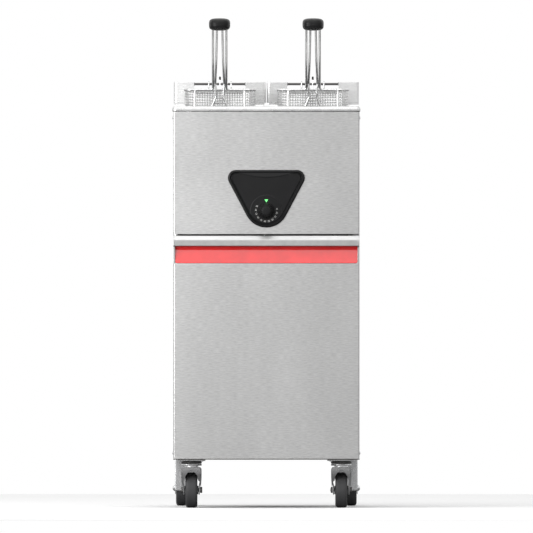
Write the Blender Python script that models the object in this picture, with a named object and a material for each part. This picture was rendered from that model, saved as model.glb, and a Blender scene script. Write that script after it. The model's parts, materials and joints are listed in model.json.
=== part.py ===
"""Free-standing electric deep fryer: one oil tank with two wire baskets, a control panel, a cabinet with
a hinged door, two swivel castors at the front and two fixed rollers at the back.

Metres, +Z up, the front faces -Y. The origin is on the floor, under the middle of the whole object.
"""

import math

import bmesh
import bpy
from mathutils import Matrix, Vector

GAP = 0.0003  # clearance between pieces that touch
SHEET = 0.0015  # stainless sheet
SIDES = (("left", -1), ("right", 1))

# Cabinet
HALF_WIDTH = 0.200
FRONT_Y = -0.300
BACK_Y = 0.2979
BASE_Z = 0.1036
FLOOR_Z = BASE_Z + SHEET
HOUSING_Z = 0.5882  # underside of the upper housing
PANEL_TOP_Z = 0.8508
FRAME_Y = -0.279  # front edge of the side panels beside the door
RETURN_DEPTH = 0.015

# Deck, tank and upstand
RIM_HALF_WIDTH = 0.202
RIM_LOW_Z = 0.852
DECK_Z = 0.863
DECK_SHEET = 0.002
TANK_HALF_WIDTH = 0.184
TANK_FRONT_Y, TANK_BACK_Y = -0.215, 0.236
UPSTAND_Y = (0.250, 0.298)
UPSTAND_TOP_Z = 0.9187
UPSTAND_X = (0.0013, 0.2007)
NOTCH_X = (0.045, 0.157)
NOTCH_Z = 0.904
COVE = 0.006
BAR = (0.256, 0.9142)  # y and z of the hanger bar
BAR_R = 0.0026

# Door
DOOR_HALF_WIDTH = 0.1997
DOOR_LOW_Z = 0.1055
DOOR_STEP_Z = 0.5246
DOOR_TOP_Z = 0.5846
DOOR_BACK_Y = -0.2833
NOSE_Y = -0.314
NOSE_LOW_Z = 0.5625
STRIP_Y = (-0.2990, -0.2915)  # front of the red strip at its lower and upper edges
STRIP_THICK = 0.0022
HINGE = (-0.1945, -0.288)
PIN_R = 0.003

# Control
KNOB = (0.0, 0.638)
KNOB_R = 0.0175
BEZEL_CIRCLES = ((-0.0655, 0.7087, 0.0172), (0.0655, 0.7087, 0.0172), (0.0, 0.6497, 0.0476))
BEZEL_Y = -0.3053
BEZEL_FLOOR_Y = -0.3028
BEZEL_BORDER = 0.007
LENS_Z = 0.6594

# Castors and rollers
WHEEL_R = 0.038
CASTOR = (0.161, -0.235)
CASTOR_TRAIL = 0.028
CASTOR_HALF_WIDTH = 0.02175
CASTOR_WHEEL_HALF = 0.01275
ROLLER = (0.1841, 0.250)
ROLLER_HALF_WIDTH = 0.0137
ROLLER_WHEEL_HALF = 0.0117
AXLE_R = 0.004

# Baskets
BASKET_X = 0.1006
BASKET_HALF_WIDTH = 0.075
BASKET_Y = (-0.058, 0.232)
BASKET_Z = (0.778, 0.8968)
BASKET_WALL = 0.0018
BASKET_CORNER = 0.014
WIRE_R = 0.0025
RIM_WIRE_Z = 0.8996
HOOK_X = 0.0243
HOOK_R = 0.0018
HANDLE_BAR_X = 0.0537
OUTER_WIRE_X = 0.0144
GRIP_Z = 1.0393
GRIP_LENGTH = 0.105
GRIP_HALF_WIDTH = 0.0229
GRIP_HALF_HEIGHT = 0.0133
HANDLE_LEAN = 0.045

# Finishes: colour, roughness, metallic
BRUSHED = ((0.62, 0.62, 0.61), 0.35, 1.0)
POLISHED = ((0.72, 0.72, 0.72), 0.15, 1.0)
ZINC = ((0.55, 0.56, 0.57), 0.30, 1.0)
DARK_STEEL = ((0.20, 0.20, 0.20), 0.35, 1.0)
BLACK_PLASTIC = ((0.02, 0.02, 0.02), 0.45, 0.0)
TYRE_RUBBER = ((0.04, 0.04, 0.045), 0.60, 0.0)
GREY_PLASTIC = ((0.30, 0.31, 0.32), 0.50, 0.0)
RED_GLOSS = ((0.75, 0.02, 0.02), 0.12, 0.0)
GREEN_LENS = ((0.05, 0.75, 0.25), 0.15, 0.0)
WHITE_CERAMIC = ((0.85, 0.84, 0.80), 0.50, 0.0)


def clear_scene():
    for obj in list(bpy.data.objects):
        bpy.data.objects.remove(obj, do_unlink=True)


def material(name, finish):
    colour, roughness, metallic = finish
    made = bpy.data.materials.new(name)
    made.use_nodes = True
    shader = made.node_tree.nodes["Principled BSDF"]
    shader.inputs["Base Color"].default_value = (*colour, 1.0)
    shader.inputs["Roughness"].default_value = roughness
    shader.inputs["Metallic"].default_value = metallic
    return made


def pivot(name, at, parent=None):
    """An empty on a joint's axis, at a place given in world coordinates."""
    empty = bpy.data.objects.new(name, None)
    empty.empty_display_size = 0.03
    empty["at"] = at
    empty.parent = parent
    start = Vector(parent["at"]) if parent else Vector()
    empty.location = Vector(at) - start
    bpy.context.scene.collection.objects.link(empty)
    return empty


def stored(name, shape):
    mesh = bpy.data.meshes.new(name)
    shape.to_mesh(mesh)
    shape.free()
    obj = bpy.data.objects.new(name, mesh)
    bpy.context.scene.collection.objects.link(obj)
    return obj


def piece(name, shape, finish, on=None):
    """A sub-part from a shape in world coordinates. On a pivot, its origin moves to the joint's axis."""
    if on:
        bmesh.ops.translate(shape, verts=shape.verts, vec=-Vector(on["at"]))
    obj = stored(name, shape)
    obj.parent = on
    obj.data.materials.append(material(name, finish))
    obj.data.shade_smooth()
    obj.data.set_sharp_from_angle(angle=math.radians(35))
    return obj


def combine(obj, operation, **shapes):
    """Cuts, joins or intersects an object with hidden helper shapes, given in world coordinates."""
    for label, shape in shapes.items():
        helper = stored(f"{obj.name}_{label}", shape)
        helper.hide_render = True
        helper.display_type = "WIRE"
        modifier = obj.modifiers.new(label, "BOOLEAN")
        modifier.operation = operation
        modifier.solver = "EXACT"
        modifier.object = helper


def loft(loops, ring=False):
    """A closed solid through loops of points: capped at both ends, or joined end to end as a ring."""
    shape = bmesh.new()
    rows = [[shape.verts.new(point) for point in loop] for loop in loops]
    pairs = list(zip(rows, rows[1:]))
    if ring:
        pairs.append((rows[-1], rows[0]))
    for low, high in pairs:
        for i in range(len(low)):
            j = (i + 1) % len(low)
            shape.faces.new((low[i], low[j], high[j], high[i]))
    if not ring:
        shape.faces.new(rows[0])
        shape.faces.new(rows[-1])
    bmesh.ops.recalc_face_normals(shape, faces=shape.faces)
    return shape


def box(low, high):
    shape = bmesh.new()
    low, high = Vector(low), Vector(high)
    place = Matrix.Translation((low + high) / 2) @ Matrix.Diagonal((*(high - low), 1))
    bmesh.ops.create_cube(shape, size=1, matrix=place)
    return shape


def prism(outline, axis, low, high):
    """An outline in the other two axes, in XYZ order, extruded along one axis."""
    place = {
        "x": lambda a, b, c: (c, a, b),
        "y": lambda a, b, c: (a, c, b),
        "z": lambda a, b, c: (a, b, c),
    }[axis]
    return loft([[place(a, b, c) for a, b in outline] for c in (low, high)])


def merged(shapes):
    """Separate shapes that don't touch, in one helper mesh."""
    together = bmesh.new()
    for shape in shapes:
        mesh = bpy.data.meshes.new("scratch")
        shape.to_mesh(mesh)
        shape.free()
        together.from_mesh(mesh)
        bpy.data.meshes.remove(mesh)
    return together


def turned(profile, centre, axis, segments=32):
    """Points of (radius, height) turned into a solid. They start and end on the axis, or make a ring."""
    shape = bmesh.new()
    verts = [shape.verts.new((radius, 0, height)) for radius, height in profile]
    edges = [shape.edges.new(ends) for ends in zip(verts, verts[1:])]
    if profile[0][0] > 0:
        edges.append(shape.edges.new((verts[-1], verts[0])))
    full = 2 * math.pi
    bmesh.ops.spin(
        shape, geom=verts + edges, cent=(0, 0, 0), axis=(0, 0, 1), angle=full, steps=segments, use_merge=True
    )
    bmesh.ops.remove_doubles(shape, verts=shape.verts, dist=1e-6)
    turn = Vector((0, 0, 1)).rotation_difference(Vector(axis)).to_matrix().to_4x4()
    bmesh.ops.transform(shape, matrix=Matrix.Translation(centre) @ turn, verts=shape.verts)
    bmesh.ops.recalc_face_normals(shape, faces=shape.faces)
    return shape


def rod(start, end, radius, segments=16):
    start, end = Vector(start), Vector(end)
    length = (end - start).length
    return turned([(0, 0), (radius, 0), (radius, length), (0, length)], start, end - start, segments)


def arc(centre, radius, start, end, steps):
    """Points on an arc between two angles in degrees."""
    angles = [math.radians(start + (end - start) * i / steps) for i in range(steps + 1)]
    return [(centre[0] + radius * math.cos(a), centre[1] + radius * math.sin(a)) for a in angles]


def rounded_rectangle(low, high, radius, steps=4):
    (x0, y0), (x1, y1) = low, high
    return (
        arc((x1 - radius, y1 - radius), radius, 0, 90, steps)
        + arc((x0 + radius, y1 - radius), radius, 90, 180, steps)
        + arc((x0 + radius, y0 + radius), radius, 180, 270, steps)
        + arc((x1 - radius, y0 + radius), radius, 270, 360, steps)
    )


def level(outline, z):
    return [(x, y, z) for x, y in outline]


def bent(points, radius, steps=4):
    """The centre line of a bent wire: straight runs joined by bends of one radius."""
    points = [Vector(point) for point in points]
    line = [points[0]]
    for before, corner, after in zip(points, points[1:], points[2:]):
        back = (before - corner).normalized()
        on = (after - corner).normalized()
        half = back.angle(on) / 2
        centre = corner + (back + on).normalized() * radius / math.sin(half)
        start = corner + back * radius / math.tan(half) - centre
        end = corner + on * radius / math.tan(half) - centre
        for i in range(steps + 1):
            turn = Matrix.Rotation(start.angle(end) * i / steps, 3, start.cross(end))
            line.append(centre + turn @ start)
    return [*line, points[-1]]


def tube(line, radius, sides=6, ring=False):
    """A round wire along a smooth line of points."""
    line = [Vector(point) for point in line]
    count = len(line)
    across = None
    loops = []
    for i, point in enumerate(line):
        ahead = line[(i + 1) % count] if ring else line[min(i + 1, count - 1)]
        behind = line[i - 1] if ring else line[max(i - 1, 0)]
        along = (ahead - behind).normalized()
        across = along.orthogonal() if across is None else across - along * across.dot(along)
        across.normalize()
        upward = along.cross(across)
        angles = [2 * math.pi * k / sides for k in range(sides)]
        loops.append([point + radius * (math.cos(a) * across + math.sin(a) * upward) for a in angles])
    return loft(loops, ring)


def slope_normal(start, end):
    """The unit normal on the right-hand side of a 2-D run."""
    along = Vector(end) - Vector(start)
    return Vector((along.y, -along.x)).normalized()


def folded(line, thickness):
    """The outline of a folded sheet: a line of 2-D points and the same line offset to its right."""
    normals = [slope_normal(a, b) for a, b in zip(line, line[1:])]
    inner = []
    for i, point in enumerate(line):
        first = normals[max(i - 1, 0)]
        second = normals[min(i, len(normals) - 1)]
        middle = (first + second).normalized()
        inner.append(tuple(Vector(point) + middle * thickness / middle.dot(first)))
    return list(line) + inner[::-1]


def pan(low, high, wall, radius):
    """The outer and inner shapes of a sheet pan with rounded front corners, whose back is open."""
    outline = [
        *arc((high[0] - radius, low[1] + radius), radius, 270, 360, 3),
        (high[0], high[1]),
        (low[0], high[1]),
        *arc((low[0] + radius, low[1] + radius), radius, 180, 270, 3),
    ]
    outer = prism(outline, "z", low[2], high[2])
    inner = box(
        (low[0] + wall, low[1] + wall, low[2] + wall),
        (high[0] - wall, high[1] + 0.02, high[2] - wall),
    )
    return outer, inner


def make_cabinet():
    base = piece("base_pan", box((-HALF_WIDTH, -0.298, BASE_Z), (HALF_WIDTH, BACK_Y, FLOOR_Z)), BRUSHED)
    for label, side in SIDES:
        inner, outer = sorted((side * 0.1967, side * 0.1982))
        flange = box((inner, -0.276, BASE_Z + 0.0005), (outer, 0.2965, 0.130))
        combine(base, "UNION", **{f"flange_{label}": flange})

    side_outline = [
        (FRAME_Y, FLOOR_Z + GAP),
        (BACK_Y, FLOOR_Z + GAP),
        (BACK_Y, PANEL_TOP_Z),
        (FRONT_Y + RETURN_DEPTH + GAP, PANEL_TOP_Z),
        (FRONT_Y + RETURN_DEPTH + GAP, HOUSING_Z),
        (FRAME_Y, HOUSING_Z),
    ]
    for label, side in SIDES:
        low, high = sorted((side * (HALF_WIDTH - SHEET), side * HALF_WIDTH))
        panel = piece(f"side_panel_{label}", prism(side_outline, "x", low, high), BRUSHED)
        low, high = sorted((side * 0.186, side * 0.199))
        stiffener = box((low, FRAME_Y + 0.0003, 0.132), (high, FRAME_Y + 0.0018, HOUSING_Z - 0.0012))
        combine(panel, "UNION", stiffener=stiffener)

    back = piece(
        "back_panel",
        box((-HALF_WIDTH, BACK_Y + GAP, FLOOR_Z + GAP), (HALF_WIDTH, BACK_Y + GAP + SHEET, PANEL_TOP_Z)),
        BRUSHED,
    )
    louvres = [
        box((x - 0.035, 0.29, z), (x + 0.035, 0.31, z + 0.005))
        for x in (-0.06, 0.06)
        for z in [0.70 + 0.015 * i for i in range(6)]
    ]
    gland_hole = rod((0.140, 0.29, 0.640), (0.140, 0.31, 0.640), 0.0085, 24)
    combine(back, "DIFFERENCE", louvres=merged([*louvres, gland_hole]))

    low = (-HALF_WIDTH, FRONT_Y, HOUSING_Z)
    high = (HALF_WIDTH, FRONT_Y + RETURN_DEPTH, PANEL_TOP_Z)
    outer, inner = pan(low, high, SHEET, 0.003)
    front = piece("front_panel", outer, BRUSHED)
    shaft_hole = rod((KNOB[0], -0.31, KNOB[1]), (KNOB[0], -0.29, KNOB[1]), 0.008, 24)
    combine(front, "DIFFERENCE", hollow=inner, shaft_hole=shaft_hole)

    shelf = piece(
        "compartment_floor",
        box((-0.1982, FRONT_Y + RETURN_DEPTH + GAP, HOUSING_Z), (0.1982, BACK_Y, HOUSING_Z + SHEET)),
        BRUSHED,
    )
    combine(shelf, "DIFFERENCE", drain_hole=rod((0, -0.03, 0.58), (0, -0.03, 0.60), 0.020, 24))


def make_deck():
    outline = rounded_rectangle((-RIM_HALF_WIDTH, -0.304), (RIM_HALF_WIDTH, 0.300), 0.008)
    shape = prism(outline, "z", RIM_LOW_Z, DECK_Z)
    rims = [e for e in shape.edges if abs(e.verts[0].co.z - e.verts[1].co.z) < 1e-6]
    bmesh.ops.bevel(shape, geom=rims, offset=0.0045, segments=3, profile=0.5, affect="EDGES", material=-1)
    deck = piece("deck_top", shape, POLISHED)
    pocket = box((-0.196, -0.298, 0.840), (0.196, 0.294, DECK_Z - DECK_SHEET))
    mouth = rounded_rectangle((-TANK_HALF_WIDTH, TANK_FRONT_Y), (TANK_HALF_WIDTH, TANK_BACK_Y), 0.025)
    combine(deck, "DIFFERENCE", pocket=pocket, mouth=prism(mouth, "z", 0.83, 0.88))


def tank_loop(grow, z, well=False):
    if well:
        half, front, back, corner = 0.120, -0.150, 0.170, 0.020
    else:
        half, front, back, corner = TANK_HALF_WIDTH, TANK_FRONT_Y, TANK_BACK_Y, 0.025
    outline = rounded_rectangle((-half - grow, front - grow), (half + grow, back + grow), corner + grow)
    return level(outline, z)


def make_tank():
    wall = 0.002
    flange_z = DECK_Z - DECK_SHEET - GAP
    outer = loft(
        [
            tank_loop(wall, 0.623, well=True),
            tank_loop(wall, 0.668, well=True),
            tank_loop(wall, 0.700),
            tank_loop(wall, flange_z - wall),
            tank_loop(0.006, flange_z - wall),
            tank_loop(0.006, flange_z),
        ]
    )
    well_loops = [tank_loop(0, z, well=True) for z in (0.625, 0.669)]
    inner = loft([*well_loops, tank_loop(0, 0.701), tank_loop(0, 0.870)])
    tank = piece("fry_tank", outer, POLISHED)
    drain = rod((0, -0.03, 0.61), (0, -0.03, 0.64), 0.013, 24)
    terminals = merged([rod((x, 0.22, 0.745), (x, 0.25, 0.745), 0.0050) for x in (-0.03, 0.03)])
    combine(tank, "DIFFERENCE", hollow=inner, drain=drain, terminals=terminals)


def make_upstands():
    """Two hollow boxes along the back of the deck, each with a notch for its hanger bar."""
    front, back = UPSTAND_Y
    foot = DECK_Z + GAP
    cove = arc((front - COVE, foot + COVE), COVE, 270, 360, 4)
    for label, side in SIDES:
        low, high = sorted((side * UPSTAND_X[0], side * UPSTAND_X[1]))
        profile = [*cove, (front, UPSTAND_TOP_Z), (back, UPSTAND_TOP_Z), (back, foot)]
        upstand = piece(f"upstand_{label}", prism(profile, "x", low, high), BRUSHED)
        inside = [
            (UPSTAND_X[0] + SHEET, 0.85),
            (UPSTAND_X[0] + SHEET, UPSTAND_TOP_Z - SHEET),
            (NOTCH_X[0] - SHEET, UPSTAND_TOP_Z - SHEET),
            (NOTCH_X[0] - SHEET, NOTCH_Z - SHEET),
            (NOTCH_X[1] + SHEET, NOTCH_Z - SHEET),
            (NOTCH_X[1] + SHEET, UPSTAND_TOP_Z - SHEET),
            (UPSTAND_X[1] - SHEET, UPSTAND_TOP_Z - SHEET),
            (UPSTAND_X[1] - SHEET, 0.85),
        ]
        hollow = prism([(side * x, z) for x, z in inside], "y", front + SHEET, back - SHEET)
        low, high = sorted((side * NOTCH_X[0], side * NOTCH_X[1]))
        notch = box((low, 0.24, NOTCH_Z), (high, 0.31, 0.93))
        relief = rod((0, 0.23, foot + COVE), (0, 0.31, foot + COVE), 0.00535, 24)
        combine(upstand, "DIFFERENCE", hollow=hollow, notch=notch, relief=relief)
        bar = rod((low + GAP, *BAR), (high - GAP, *BAR), BAR_R, 12)
        piece(f"hanger_bar_{label}", bar, DARK_STEEL)


def make_heating():
    z = 0.722
    half_run = 0.170
    lanes = [-0.030, -0.062, -0.094, -0.126]
    plan = []
    for i, x in enumerate(lanes):
        ends = (half_run, -half_run) if i % 2 == 0 else (-half_run, half_run)
        plan += [(x, ends[0]), (x, ends[1])]
    riser = [(lanes[0], 0.262, 0.745), (lanes[0], 0.196, 0.745), (lanes[0], 0.180, z)]
    left = riser + [(x, y, z) for x, y in plan[1:-1]] + [(lanes[-1], 0.208, z)]
    right = [(-x, y, level_z) for x, y, level_z in reversed(left)]
    line = bent(left + right, 0.0155, 2)
    piece("heating_element", tube(line, 0.0042), DARK_STEEL)
    bulb = [(0, 0), (0.008, 0), (0.008, 0.010), (0.003, 0.012), (0.003, 0.138), (0, 0.140)]
    piece("thermostat_bulb", turned(bulb, (0, TANK_BACK_Y - GAP, 0.738), (0, -1, 0), 12), POLISHED)


def make_drain():
    pipe_line = bent([(0, -0.03, 0.6227), (0, -0.03, 0.535), (0, -0.110, 0.535)], 0.025)
    pipe = piece("drain_pipe", tube(pipe_line, 0.0135, 12), POLISHED)
    collar = rod((0, -0.03, 0.600), (0, -0.03, 0.6226), 0.0185, 24)
    combine(pipe, "UNION", collar=collar)

    bore = 0.0175
    bulge = 0.0205
    half_body = [(0, 0), (bore, 0), (bore, 0.010), (bulge, 0.014)]
    body = half_body + [(radius, 0.044 - height) for radius, height in reversed(half_body)]
    valve = piece("drain_valve", turned(body, (0, -0.110 - GAP, 0.535), (0, -1, 0), 24), ZINC)
    spout = tube(bent([(0, -0.150, 0.535), (0, -0.180, 0.535), (0, -0.180, 0.497)], 0.020), 0.0125, 12)
    bonnet = rod((0, -0.1325, 0.545), (0, -0.1325, 0.5625), 0.009, 16)
    combine(valve, "UNION", spout=spout, bonnet=bonnet)

    turn = pivot("drain_lever_axis", (0, -0.1325, 0.565))
    blade = rounded_rectangle((-0.010, -0.1425), (0.100, -0.1225), 0.0098)
    lever = piece("drain_lever", prism(blade, "z", 0.5628, 0.5668), RED_GLOSS, turn)
    combine(lever, "UNION", nut=rod((0, -0.1325, 0.5660), (0, -0.1325, 0.5720), 0.0065, 6))


def open_box(low, high, corner, wall, lip, name, finish):
    """A sheet container with a rim turned outwards."""

    def loop(grow, z):
        outline = rounded_rectangle(
            (low[0] - grow, low[1] - grow), (high[0] + grow, high[1] + grow), corner + grow, 3
        )
        return level(outline, z)

    outer = loft([loop(0, low[2]), loop(0, high[2] - wall), loop(lip, high[2] - wall), loop(lip, high[2])])
    inner = loft([loop(-wall, low[2] + wall), loop(-wall, high[2] + 0.01)])
    combine(piece(name, outer, finish), "DIFFERENCE", hollow=inner)


def make_bucket():
    low, high = (-0.130, -0.240, FLOOR_Z + GAP), (0.130, 0.070, 0.320)
    open_box(low, high, 0.030, SHEET, 0.008, "oil_bucket", BRUSHED)
    low, high = (-0.126, -0.236, 0.286), (0.126, 0.066, 0.322)
    open_box(low, high, 0.026, 0.0012, 0.010, "bucket_filter", POLISHED)


def pin_hole(z_low, z_high):
    return rod((*HINGE, z_low), (*HINGE, z_high), PIN_R + 0.0004, 24)


def make_door():
    swing = pivot("door_axis", (*HINGE, DOOR_LOW_Z))
    low = (-DOOR_HALF_WIDTH, FRONT_Y, DOOR_LOW_Z)
    high = (DOOR_HALF_WIDTH, DOOR_BACK_Y, DOOR_STEP_Z)
    outer, inner = pan(low, high, SHEET, 0.003)
    panel = piece("door_panel", outer, BRUSHED, swing)
    combine(panel, "DIFFERENCE", hollow=inner, pin_hole=pin_hole(0.10, 0.11))

    skin = box((-0.1992, DOOR_BACK_Y + GAP, 0.1065), (0.1992, DOOR_BACK_Y + GAP + SHEET, 0.5838))
    piece("door_inner_skin", skin, BRUSHED, swing)

    fold = [
        (DOOR_BACK_Y, DOOR_TOP_Z),
        (-0.3062, DOOR_TOP_Z),
        (NOSE_Y, 0.5756),
        (NOSE_Y, NOSE_LOW_Z),
        (-0.289, NOSE_LOW_Z),
        (-0.2965, DOOR_STEP_Z + GAP),
        (DOOR_BACK_Y, DOOR_STEP_Z + GAP),
    ]
    sheet = prism(folded(fold[:-1][::-1], SHEET), "x", -0.198, 0.198)
    pull = piece("door_pull", sheet, POLISHED, swing)
    cheek = [*fold[:4], (FRONT_Y, NOSE_LOW_Z), (FRONT_Y, DOOR_STEP_Z + GAP), fold[-1]]
    for label, side in SIDES:
        low, high = sorted((side * 0.1962, side * DOOR_HALF_WIDTH))
        combine(pull, "UNION", **{f"cheek_{label}": prism(cheek, "x", low, high)})
    combine(pull, "DIFFERENCE", pin_hole=pin_hole(0.570, 0.590))

    low_y, top_y = STRIP_Y
    low_z, top_z = DOOR_STEP_Z + 0.0012, NOSE_LOW_Z - GAP
    face = [(top_y + STRIP_THICK, top_z), (low_y + STRIP_THICK, low_z), (low_y, low_z), (top_y, top_z)]
    piece("red_strip", prism(face, "x", -0.1959, 0.1959), RED_GLOSS, swing)

    piece("hinge_pin_lower", rod((*HINGE, FLOOR_Z + GAP), (*HINGE, 0.125), PIN_R), ZINC)
    upper = [(0, 0), (PIN_R, 0), (PIN_R, 0.0132), (0.0055, 0.0132), (0.0055, 0.0157), (0, 0.0157)]
    piece("hinge_pin_upper", turned(upper, (*HINGE, HOUSING_Z - GAP - 0.0157), (0, 0, 1), 16), ZINC)
    piece("door_catch", box((0.140, -0.2810, 0.570), (0.176, -0.2660, HOUSING_Z - GAP)), BLACK_PLASTIC)


def bezel_outline(inset, steps):
    """The rounded triangle around two small circles above and a large one below, drawn in by an inset."""
    left, right, lower = BEZEL_CIRCLES
    reach = math.hypot(right[0] - lower[0], right[1] - lower[1])
    slope = math.degrees(math.atan2(right[1] - lower[1], right[0] - lower[0]))
    tangent = slope - math.degrees(math.acos((lower[2] - right[2]) / reach))
    return (
        arc(right[:2], right[2] - inset, tangent, 90, steps)
        + arc(left[:2], left[2] - inset, 90, 180 - tangent, steps)
        + arc(lower[:2], lower[2] - inset, 180 - tangent, 360 + tangent, steps)
    )


def make_control():
    back = FRONT_Y - GAP
    loops = [
        [(x, back, z) for x, z in bezel_outline(0, 8)],
        [(x, BEZEL_Y + 0.002, z) for x, z in bezel_outline(0, 8)],
        [(x, BEZEL_Y, z) for x, z in bezel_outline(0.002, 8)],
    ]
    bezel = piece("control_bezel", loft(loops), BLACK_PLASTIC)
    recess = loft(
        [
            [(x, BEZEL_FLOOR_Y, z) for x, z in bezel_outline(BEZEL_BORDER + 0.001, 8)],
            [(x, BEZEL_Y - 0.001, z) for x, z in bezel_outline(BEZEL_BORDER - 0.0005, 8)],
        ]
    )
    shaft_hole = rod((KNOB[0], -0.31, KNOB[1]), (KNOB[0], -0.29, KNOB[1]), 0.005, 16)
    combine(bezel, "DIFFERENCE", recess=recess, shaft_hole=shaft_hole)

    turn = pivot("knob_axis", (KNOB[0], BEZEL_FLOOR_Y, KNOB[1]))
    profile = [
        (0, 0.0134),
        (0.0034, 0.0134),
        (0.0034, 0),
        (KNOB_R, 0),
        (KNOB_R, 0.004),
        (KNOB_R - 0.0015, 0.0172),
        (KNOB_R - 0.0030, 0.0189),
        (0, 0.0189),
    ]
    knob = turned(profile, (KNOB[0], BEZEL_FLOOR_Y - GAP, KNOB[1]), (0, -1, 0), 28)
    piece("control_knob", knob, BLACK_PLASTIC, turn)

    triangle = [(0, LENS_Z - 0.0033), (0.0041, LENS_Z + 0.0032), (-0.0041, LENS_Z + 0.0032)]
    piece("indicator_lens", prism(triangle, "y", BEZEL_FLOOR_Y - 0.0013, BEZEL_FLOOR_Y - GAP), GREEN_LENS)

    body = box((-0.021, FRONT_Y + SHEET + GAP, 0.615), (0.021, -0.264, 0.661))
    thermostat = piece("thermostat", body, WHITE_CERAMIC)
    shaft = rod((KNOB[0], -0.280, KNOB[1]), (KNOB[0], -0.3145, KNOB[1]), 0.003, 12)
    combine(thermostat, "UNION", shaft=shaft)


def make_electrics():
    block = box((0.040, 0.274, 0.655), (0.110, BACK_Y - 0.0002, 0.685))
    piece("terminal_block", block, WHITE_CERAMIC)
    outside = BACK_Y + GAP + SHEET + GAP
    end = 0.322 - outside
    profile = [
        (0, -0.014),
        (0.008, -0.014),
        (0.008, 0),
        (0.0125, 0),
        (0.0125, 0.010),
        (0.0105, 0.012),
        (0.0090, end),
        (0, end),
    ]
    piece("cable_gland", turned(profile, (0.140, outside, 0.640), (0, 1, 0), 24), BLACK_PLASTIC)


def wheel_pieces(name, centre, half_width, hub_half, axis_pivot):
    """A tyre and its hub, turned about a sideways axle."""
    rim = 0.027
    soft = 0.004
    tyre = (
        [(rim, -half_width)]
        + [(x, y) for y, x in arc((-half_width + soft, WHEEL_R - soft), soft, 180, 90, 2)]
        + [(x, y) for y, x in arc((half_width - soft, WHEEL_R - soft), soft, 90, 0, 2)]
        + [(rim, half_width)]
    )
    piece(f"{name}_tyre", turned(tyre, centre, (1, 0, 0), 28), TYRE_RUBBER, axis_pivot)
    face = half_width - 0.0035
    side = [(AXLE_R + GAP, hub_half), (0.0090, hub_half), (0.0225, face * 0.6), (rim - GAP, face)]
    hub = [(radius, -along) for radius, along in side] + side[::-1]
    piece(f"{name}_hub", turned(hub, centre, (1, 0, 0), 24), GREY_PLASTIC, axis_pivot)


def fork_front_outline(x):
    """The fork from the front: a flat crown and two legs that bend in towards the hub."""
    wide = CASTOR_HALF_WIDTH
    narrow = 0.0178
    sheet = 0.0025
    outer = [(wide, 0.084), (wide, 0.060), (narrow, 0.046), (narrow, 0.0265)]
    inner = [(narrow - sheet, 0.0265), (narrow - sheet, 0.0465)]
    inner += [(wide - sheet, 0.0605), (wide - sheet, 0.078)]
    crown = [(0.014, 0.0825), (-0.014, 0.0825)]
    right = [(wide - 0.0035, 0.0876), *outer, *inner]
    left = [(-a, b) for a, b in reversed(right)]
    return [(x + a, b) for a, b in right + crown + left]


def make_castor(label, side):
    x, y = side * CASTOR[0], CASTOR[1]
    axle = (x, y + CASTOR_TRAIL, WHEEL_R)
    name = f"castor_{label}"
    plate = box((x - 0.030, y - 0.030, 0.1007), (x + 0.030, y + 0.030, 0.1033))
    plate_piece = piece(f"{name}_plate", plate, ZINC)
    cup_profile = [(0, 0.0946), (0.0215, 0.0946), (0.0225, 0.0985), (0.0200, 0.1015), (0, 0.1015)]
    cup = turned(cup_profile, (x, y, 0), (0, 0, 1), 24)
    combine(plate_piece, "UNION", cup=cup)

    swivel = pivot(f"{name}_swivel_axis", (x, y, 0.0876))
    side_outline = [
        (y - 0.023, 0.0876),
        (y - 0.023, 0.078),
        (y - 0.010, 0.066),
        *[(a, b) for a, b in arc((y + CASTOR_TRAIL, WHEEL_R), 0.0115, 200, 340, 6)],
        (y + 0.036, 0.066),
        (y + 0.027, 0.078),
        (y + 0.027, 0.0876),
    ]
    fork = piece(f"{name}_fork", prism(fork_front_outline(x), "y", y - 0.05, y + 0.06), ZINC, swivel)
    combine(fork, "INTERSECT", profile=prism(side_outline, "x", x - 0.03, x + 0.03))
    neck, race_r = 0.0190, 0.0220
    race_profile = [(0, 0.0860), (neck, 0.0860), (neck, 0.0903)]
    race_profile += [(race_r, 0.0903), (race_r, 0.0943), (0, 0.0943)]
    race = turned(race_profile, (x, y, 0), (0, 0, 1), 24)
    combine(fork, "UNION", race=race)
    bolt_hole = rod((x - 0.03, *axle[1:]), (x + 0.03, *axle[1:]), AXLE_R + GAP, 16)
    combine(fork, "DIFFERENCE", bolt_hole=bolt_hole)

    head = 0.0178 + GAP
    bolt = [(0, -0.0235), (0.0065, -0.0235), (0.0065, -head), (AXLE_R, -head)]
    bolt += [(radius, -along) for radius, along in reversed(bolt)]
    piece(f"{name}_axle", turned(bolt, axle, (1, 0, 0), 16), ZINC, swivel)
    spin = pivot(f"{name}_wheel_axis", axle, swivel)
    wheel_pieces(name, axle, CASTOR_WHEEL_HALF, 0.0153 - GAP, spin)


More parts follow.
